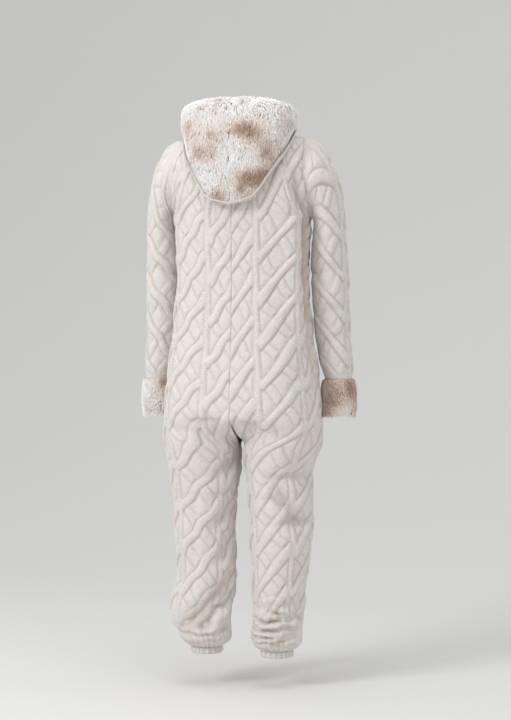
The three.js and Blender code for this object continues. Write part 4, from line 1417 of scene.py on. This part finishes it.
class FurCoat:
    """Locks of fur over a grid of points, joined into one mesh."""

    def __init__(self, seed: int, lock: Lock) -> None:
        """Keep the seed and the sizes."""
        self.random = np.random.RandomState(seed)
        self.lock = lock

    def make(self, name: str, outer: Grid, normals: Grid, fall: Grid, mottle: Grid, count: int,
             mirror: bool) -> bpy.types.Object:
        """Make the locks.

        Args:
            name: the object's name.
            outer: rows of points of the backing.
            normals: outward normals there.
            fall: the direction in which the fur is combed there.
            mottle: how brown it is there.
            count: how many locks.
            mirror: whether the points are mirrored to the right half.

        Returns:
            The object.
        """
        place = self._places(outer, count)
        root = self._between(outer, place)
        out = unit(self._between(normals, place))
        down = self._between(fall, place)
        down = unit(down - out * np.einsum("ij,ij->i", down, out)[:, None])
        side = np.cross(out, down)
        clump = np.stack([BILLOW.at(root + shift, 22.0) for shift in (0.0, 300.0)], axis=1)
        swirl = self.random.normal(0, self.lock.spread, count) + 0.8 * clump[:, 0]
        lift = np.clip(self.lock.lift + 0.25 * clump[:, 1] + self.random.normal(0, 0.08, count), 0.15, 1.0)
        lean = unit(down * np.cos(swirl)[:, None] + side * np.sin(swirl)[:, None])
        length = self.lock.length * self.random.uniform(0.62, 1.12, count)[:, None]
        width = self.lock.width * self.random.uniform(0.6, 1.15, count)[:, None]
        start = unit(out * 1.0 + lean * 0.35)
        end = unit(out * (lift - 0.35)[:, None] + lean)
        base = root - out * self.lock.sunk
        middle = base + start * length * 0.45
        tip = middle + end * length * 0.55
        across = unit(np.cross(start, lean) + side * 0.05)
        up = np.cross(across, end)
        rings = []
        for centre, size in ((base, 1.0), (middle, 0.8)):
            for turn in (0.524, 2.618, 4.712):
                thick = up * (math.sin(turn) * self.lock.flatness)
                rings.append(centre + width * size / 2 * (across * math.cos(turn) + thick))
        points = np.stack(rings + [tip], axis=1)
        faces = np.array([(0, 2, 1), (0, 1, 4), (0, 4, 3), (1, 2, 5), (1, 5, 4), (2, 0, 3), (2, 3, 5),
                          (3, 4, 6), (4, 5, 6), (5, 3, 6)])
        all_faces = (faces[None] + 7 * np.arange(count)[:, None, None]).reshape(-1, 3)
        flat_points = points.reshape(-1, 3)
        flat_points = flip(flat_points) if mirror else flat_points
        if signed_volume(flat_points[:7], faces.tolist()) < 0:
            all_faces = all_faces[:, ::-1]
        obj = make_object(name, flat_points * MM, all_faces.tolist())
        obj.data.shade_flat()
        tone = self._between(mottle[..., None], place) + self.random.normal(0, 0.07, (count, 1))
        along = np.array([0.06, 0.06, 0.06, 0.0, 0.0, 0.0, -0.05])
        set_attribute(obj, "mottle", (tone + along[None]).ravel())
        return obj

    def _places(self, outer: Grid, count: int) -> Grid:
        """Random places on a grid, as many on each patch as its area asks."""
        across = outer[:-1, 1:] - outer[:-1, :-1]
        tall = outer[1:, :-1] - outer[:-1, :-1]
        area = np.linalg.norm(np.cross(across, tall), axis=2)
        chosen = self.random.choice(area.size, count, p=area.ravel() / area.sum())
        rows, columns = np.unravel_index(chosen, area.shape)
        return np.stack([rows + self.random.rand(count), columns + self.random.rand(count)], axis=1)

    @staticmethod
    def _between(values: Grid, place: Grid) -> Grid:
        """Values of a grid at places between its points."""
        low = np.minimum(place.astype(int), np.array(values.shape[:2]) - 2)
        part = place - low
        r, c = low[:, 0], low[:, 1]
        s, t = part[:, :1], part[:, 1:]
        upper = values[r, c] * (1 - t) + values[r, c + 1] * t
        lower = values[r + 1, c] * (1 - t) + values[r + 1, c + 1] * t
        return upper * (1 - s) + lower * s


@dataclass
class HoodFur:
    """The hood's fur lining, turned outward and worn down on the back."""

    backing: bpy.types.Material
    coat: bpy.types.Material
    detail: Detail
    locks: int = 13500
    flat: tuple[float, float] = (0.25, 0.33)
    area: float = 0.062

    def build(self) -> None:
        """Make both halves."""
        for side in Side:
            self._half(side)

    def _half(self, side: Side) -> None:
        """Make one half."""
        column = np.arange(HOOD.columns * 4 + 1) / 4
        lines = [self._line(HOOD.last_turn * c / HOOD.columns) for c in column]
        points = np.stack(lines, axis=1)
        wide = np.concatenate([flip(points[:, 1:2]), points, 2 * points[:, -1:] - points[:, -2:-1]], axis=1)
        across = wide[:, 2:] - wide[:, :-2]
        tall = np.concatenate([points[:1], points, points[-1:]], axis=0)
        down = tall[2:] - tall[:-2]
        normals = np.cross(across, down)
        normals = unit(normals * np.sign(np.einsum("ijk,ijk->", normals, points * np.array([1, 1, 0]))))
        normals[:, 0, 0] = 0
        normals = unit(normals)
        dip = HOOD.seam_dip * np.exp(-(column / 0.45) ** 2)[None, :, None]
        outer = points - normals * (dip + HOOD.nap)
        inner = points - normals * HOOD.fur
        outer[:, 0, 0] = SEAM / 2
        inner[:, 0, 0] = SEAM / 2
        shown = flip(outer) if side is Side.RIGHT else outer
        mottle = mottle_at(shown, HOOD_PATCHES, 0.27)
        uv = np.stack(np.broadcast_arrays(column[None, :] * 0.04, -np.arange(len(points))[:, None] * 0.01), axis=2)
        wall = Wall(outer, inner, (4, 4))
        obj = wall.make(f"fur_hood_{side.word}", side is Side.RIGHT, Attributes(mottle * 0, None, mottle), uv)
        dress(obj, self.backing, f"hood_fur_{side.word}")
        coat = FurCoat(101 + side.value, Lock())
        count = int(self.locks * self.detail.locks)
        locks = coat.make(f"locks_hood_{side.word}", outer, normals, down, mottle, count, side is Side.RIGHT)
        dress(locks, self.coat, None)

    @staticmethod
    def _line(turn: float) -> Grid:
        """One line down the fur from its rim."""
        h = HOOD.table.at(turn)
        inner_r = h["rimR"] + (h["bulgeR"] - h["rimR"]) * 0.72
        inner_z = h["rimZ"] + (h["bulgeZ"] - h["rimZ"]) * 0.35
        lower_z = h["bulgeZ"] + (h["lowZ"] - h["bulgeZ"]) * 0.6
        section = np.array([
            (h["rimR"], h["rimZ"]), (inner_r, inner_z), (h["bulgeR"], h["bulgeZ"]),
            (h["lowR"], lower_z), (h["lowR"] - 8, h["lowZ"])])
        flat = np.concatenate([section, np.zeros((len(section), 1))], axis=1)
        line = spline(flat, HOOD.rows * 4)
        return around_neck(turn, line[:, 0], line[:, 1])


@dataclass(frozen=True)
class Patch:
    """A patch of the fur's mottling: its centre, in millimetres, its radius and how brown it is."""

    x: float
    y: float
    z: float
    radius: float
    brown: float


HOOD_PATCHES = tuple(Patch(*row) for row in (
    (-14, 155, 30, 17, 0.6),
    (-40, 154, 30, 22, 0.7),
    (-62, 152, 22, 18, 0.6),
    (44, 154, 14, 18, 0.5),
    (52, 156, -32, 22, 0.5),
    (82, 142, -30, 22, 0.45),
    (-91, 140, -23, 24, 0.55),
    (-40, 158, -90, 22, 0.8),
    (-66, 150, -98, 20, 0.75),
    (-84, 138, -84, 18, 0.8),
    (-30, 156, -122, 16, 0.5),
    (26, 155, -136, 18, 0.7),
    (104, 110, 40, 26, 0.3),
    (-14, 157, -4, 20, -0.35),
    (66, 152, -84, 26, -0.4),
    (-10, 158, -60, 26, -0.3),
    (96, 112, 84, 30, -0.3),
    (-70, 110, 98, 34, -0.3),
))


CUFF_PATCHES = tuple(Patch(*row) for row in (
    (-262, -25, -684, 30, -0.6),
    (-232, -15, -640, 28, 0.3),
    (-270, -40, -622, 18, 0.2),
    (214, -18, -612, 18, 0.6),
))


def mottle_at(points: Grid, patches: Sequence[Patch], base: float) -> Grid:
    """How brown the fur is at points, from 0, white, to 1, brown."""
    value = base + 0.16 * MOTTLE.at(points, 42.0) + 0.14 * MOTTLE.at(points, 17.0)
    for patch in patches:
        distance = np.linalg.norm(points - np.array([patch.x, patch.y, patch.z]), axis=-1)
        value = value + patch.brown * np.exp(-(distance / patch.radius) ** 2)
    return np.clip(value, 0, 1)


@dataclass
class Cuffs:
    """The fur cuffs on the sleeves' ends."""

    sleeves: dict[Side, SleeveSurface]
    backing: bpy.types.Material
    coat: bpy.types.Material
    detail: Detail
    rows: int = 16
    length: float = 92.0
    over_sleeve: float = 5.0
    bulge: float = 6.0
    locks: int = 7500
    flat: tuple[float, float] = (0.29, 0.095)
    brown: dict[Side, float] = field(default_factory=lambda: {Side.LEFT: 0.3, Side.RIGHT: 0.78})

    def build(self) -> None:
        """Make both cuffs."""
        for side, sleeve in self.sleeves.items():
            ring = sleeve.points[-1]
            t = np.linspace(0, 1, self.rows + 1)[:, None]
            out = unit((ring - ring.mean(axis=0)) * np.array([1, 1, 0]))[None]
            swell = self.over_sleeve + self.bulge * np.sin(math.pi * (0.12 + 0.76 * t))
            low = ring[None] - UP * (SEAM + self.length * t)[..., None]
            outer = low + out * (swell - HOOD.nap)[..., None]
            inner = low + out * (swell - HOOD.fur)[..., None]
            shown = flip(outer) if side is Side.RIGHT else outer
            mottle = mottle_at(shown, CUFF_PATCHES, self.brown[side])
            around = np.linspace(0, 0.29, ring.shape[0])[None, :]
            uv = np.stack(np.broadcast_arrays(around, -t * 0.092), axis=2)
            wall = Wall(outer, inner, (4, 4), closed=True)
            tint = Attributes(mottle * 0, None, mottle)
            obj = wall.make(f"fur_cuff_{side.word}", side is Side.RIGHT, tint, uv)
            dress(obj, self.backing, f"cuff_{side.word}")
            around_closed = [np.concatenate([grid, grid[:, :1]], axis=1)
                             for grid in (outer, np.broadcast_to(out, outer.shape), mottle)]
            fall = np.broadcast_to(-UP, around_closed[0].shape)
            coat = FurCoat(201 + side.value, Lock(length=17.0, lift=0.5))
            count = int(self.locks * self.detail.locks)
            locks = coat.make(f"locks_cuff_{side.word}", around_closed[0], around_closed[1], fall,
                              around_closed[2], count, side is Side.RIGHT)
            dress(locks, self.coat, None)


@dataclass
class Zip:
    """The centre-front zip: its tapes, its teeth and the metal of its slider and tab."""

    body: BodySurface
    tape: bpy.types.Material
    teeth: bpy.types.Material
    metal: bpy.types.Material
    first_row: int = 2
    last_row: int = 24
    half_width: float = 11.0
    thickness: float = 1.6
    tooth: tuple[float, float, float] = (3.4, 1.5, 1.3)
    pitch: float = 3.0
    flat: tuple[float, float] = (0.03, 0.58)

    def build(self) -> None:
        """Make the tape and its teeth, and finish the slider and tab."""
        steps = self.body.row_steps
        line = self.body.points[Face.FRONT][self.first_row * steps: self.last_row * steps + 1, 0]
        normals = self.body.normals[Face.FRONT][self.first_row * steps: self.last_row * steps + 1, 0]
        across = np.linspace(-self.half_width, self.half_width, 13)
        edge = 1 - 0.5 * (np.abs(across) / self.half_width) ** 6
        flat = line[:, None] + across[None, :, None] * np.array([1.0, 0, 0])
        flat[..., 0] = across[None, :]
        outer = flat + normals[:, None] * (SEAM + self.thickness * edge)[None, :, None]
        inner = flat + normals[:, None] * SEAM
        uv = np.stack(np.broadcast_arrays(across[None, :] * MM, line[:, None, 2] * MM), axis=2)
        wall = Wall(outer, inner, (steps, 4))
        obj = wall.make("tape_zip", False, Attributes(np.full(outer.shape[:2], 0.5)), uv)
        dress(obj, self.tape, "zip_tape")
        teeth = self._teeth(line, normals)
        dress(teeth, self.teeth, None)
        for node in ("zip_slider", "zip_pull"):
            self._finish(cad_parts[node])

    def _finish(self, obj: bpy.types.Object) -> None:
        """Give a metal solid its finish."""
        for slot in obj.material_slots:
            slot.material = self.metal
        if not obj.material_slots:
            obj.data.materials.append(self.metal)

    def _teeth(self, line: Grid, normals: Grid) -> bpy.types.Object:
        """The chain: one tooth made once, then copied down both tapes."""
        lengths = np.concatenate([[0], np.cumsum(np.linalg.norm(np.diff(line, axis=0), axis=1))])
        bpy.ops.object.select_all(action="DESELECT")
        bpy.ops.mesh.primitive_cube_add(size=1)
        first = bpy.context.object
        first.scale = [part * MM for part in self.tooth]
        bpy.ops.object.transform_apply(location=False, rotation=False, scale=True)
        first.modifiers.new("Edge", "BEVEL").width = 0.3 * MM
        bpy.ops.object.modifier_apply(modifier="Edge")
        pieces = [first]
        count = int(lengths[-1] / self.pitch)
        for k in range(1, 2 * count):
            piece = first.copy()
            piece.data = first.data.copy()
            bpy.context.scene.collection.objects.link(piece)
            pieces.append(piece)
        for k, piece in enumerate(pieces):
            at = (k + 0.5) * self.pitch / 2
            point = [np.interp(at, lengths, line[:, axis]) for axis in (1, 2)]
            normal = [np.interp(at, lengths, normals[:, axis]) for axis in (1, 2)]
            lift = SEAM + self.thickness + self.tooth[1] * 0.3
            x = (1.3 if k % 2 else -1.3) * MM
            piece.location = (x, (point[0] + normal[0] * lift) * MM, (point[1] + normal[1] * lift) * MM)
            piece.rotation_euler.x = math.atan2(normal[1], -normal[0]) * -1
        bpy.ops.object.select_all(action="DESELECT")
        for piece in pieces:
            piece.select_set(True)
        bpy.context.view_layer.objects.active = first
        bpy.ops.object.join()
        bpy.ops.object.transform_apply(location=True, rotation=True, scale=True)
        first.name = "teeth_zip"
        return first


@dataclass
class Stage:
    """Floor, backdrop, lights and camera."""

    floor_z: float = -1.40
    backdrop: Colour = (0.76, 0.76, 0.76)
    sweep_size: float = 12.0
    sweep_curve: float = 4.5
    sweep_turn: float = -0.227
    target: tuple[float, float, float] = (-0.0316, -0.0073, -0.557)
    camera: tuple[float, float, float] = (-1.08, 4.677, -0.499)
    view_angle: float = 22.0

    def build(self) -> None:
        """Make the stage."""
        shader = Shader("studio_paper")
        shader.set(Base_Color=self.backdrop, Roughness=0.95)
        sweep = self._sweep()
        sweep.data.materials.append(shader.material)
        self._lights()
        self._camera()
        scene = bpy.context.scene
        scene.view_settings.view_transform = "Standard"

    def _sweep(self) -> bpy.types.Object:
        """One sheet of paper that runs over the floor and curves up behind."""
        bpy.ops.object.select_all(action="DESELECT")
        bpy.ops.mesh.primitive_plane_add(size=self.sweep_size, location=(0, 0, self.floor_z))
        sweep = bpy.context.object
        sweep.name = "stage_sweep"
        bpy.ops.object.mode_set(mode="EDIT")
        bpy.ops.mesh.select_all(action="DESELECT")
        far = -self.sweep_size / 2
        self._choose_edges(sweep, far)
        bpy.ops.mesh.extrude_region_move(TRANSFORM_OT_translate={"value": (0, 0, self.sweep_size)})
        bpy.ops.mesh.select_all(action="DESELECT")
        self._choose_edges(sweep, far)
        bpy.ops.mesh.bevel(offset=self.sweep_curve, segments=32, affect="EDGES")
        bpy.ops.object.mode_set(mode="OBJECT")
        sweep.rotation_euler.z = self.sweep_turn
        bpy.ops.object.shade_smooth()
        return sweep

    @staticmethod
    def _choose_edges(obj: bpy.types.Object, y: float) -> None:
        """Select the floor's far edge."""
        bpy.ops.object.mode_set(mode="OBJECT")
        for edge in obj.data.edges:
            ends = [obj.data.vertices[index].co for index in edge.vertices]
            edge.select = all(abs(end.y - y) < 1e-4 and abs(end.z) < 1e-4 for end in ends)
        bpy.ops.object.mode_set(mode="EDIT")

    def _lights(self) -> None:
        """A broad soft light from the upper left of the picture, a fill and a pale world."""
        for name, place, size, energy in (
                ("key", (2.4, 3.2, 1.7), 1.4, 84.0),
                ("fill", (-3.0, 3.0, 0.4), 2.6, 15.0),
                ("top", (0.0, 0.6, 2.6), 2.2, 30.0)):
            data = bpy.data.lights.new(name, "AREA")
            data.size = size
            data.energy = energy
            light = bpy.data.objects.new(name, data)
            bpy.context.scene.collection.objects.link(light)
            light.location = place
            aim(light, (0, 0, -0.6))
        world = bpy.data.worlds.new("studio")
        world.use_nodes = True
        background = world.node_tree.nodes["Background"]
        background.inputs["Color"].default_value = (1.0, 0.995, 0.985, 1.0)
        background.inputs["Strength"].default_value = 0.66
        bpy.context.scene.world = world

    def _camera(self) -> None:
        """The camera behind the wearer, a little to their right."""
        data = bpy.data.cameras.new("camera")
        data.sensor_fit = "VERTICAL"
        data.lens = data.sensor_height / 2 / math.tan(math.radians(self.view_angle / 2))
        camera = bpy.data.objects.new("camera", data)
        bpy.context.scene.collection.objects.link(camera)
        camera.location = self.camera
        aim(camera, self.target)
        bpy.context.scene.camera = camera


def aim(obj: bpy.types.Object, target: Sequence[float]) -> None:
    """Turn a light or camera towards a place."""
    direction = Vector(target) - obj.location
    obj.rotation_euler = direction.to_track_quat("-Z", "Y").to_euler()


def main() -> None:
    """Build the garment and its stage."""
    logging.basicConfig(level=logging.INFO, format="%(message)s")
    detail = Detail(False)
    fleece = FleeceFinish().make()
    # The backing's depth paints shade between the locks.
    backing = FurFinish("fur_backing", depth=0.08).make()
    coat = FurFinish("fur_coat").make()
    tape = WovenFinish("zip_tape_cloth", (0.78, 0.73, 0.66)).make()
    metal = MetalFinish().make()
    bodies = {side: BodySurface(side, detail.columns, detail.rows) for side in Side}
    sleeves = {side: SleeveSurface(bodies[side], detail.columns, detail.rows) for side in Side}
    builders = (
        Stage(),
        BodyPanels(bodies, fleece),
        Sleeves(sleeves, fleece),
        Hems(bodies, fleece),
        HoodShell(fleece, detail),
        HoodEdge(fleece, detail),
        HoodFur(backing, coat, detail),
        Cuffs(sleeves, backing, coat, detail),
        Zip(bodies[Side.LEFT], tape, metal, metal),
    )
    for builder in builders:
        builder.build()
        LOG.info("built %s", type(builder).__name__)
    bpy.context.view_layer.update()


if __name__ == "__main__":
    main()
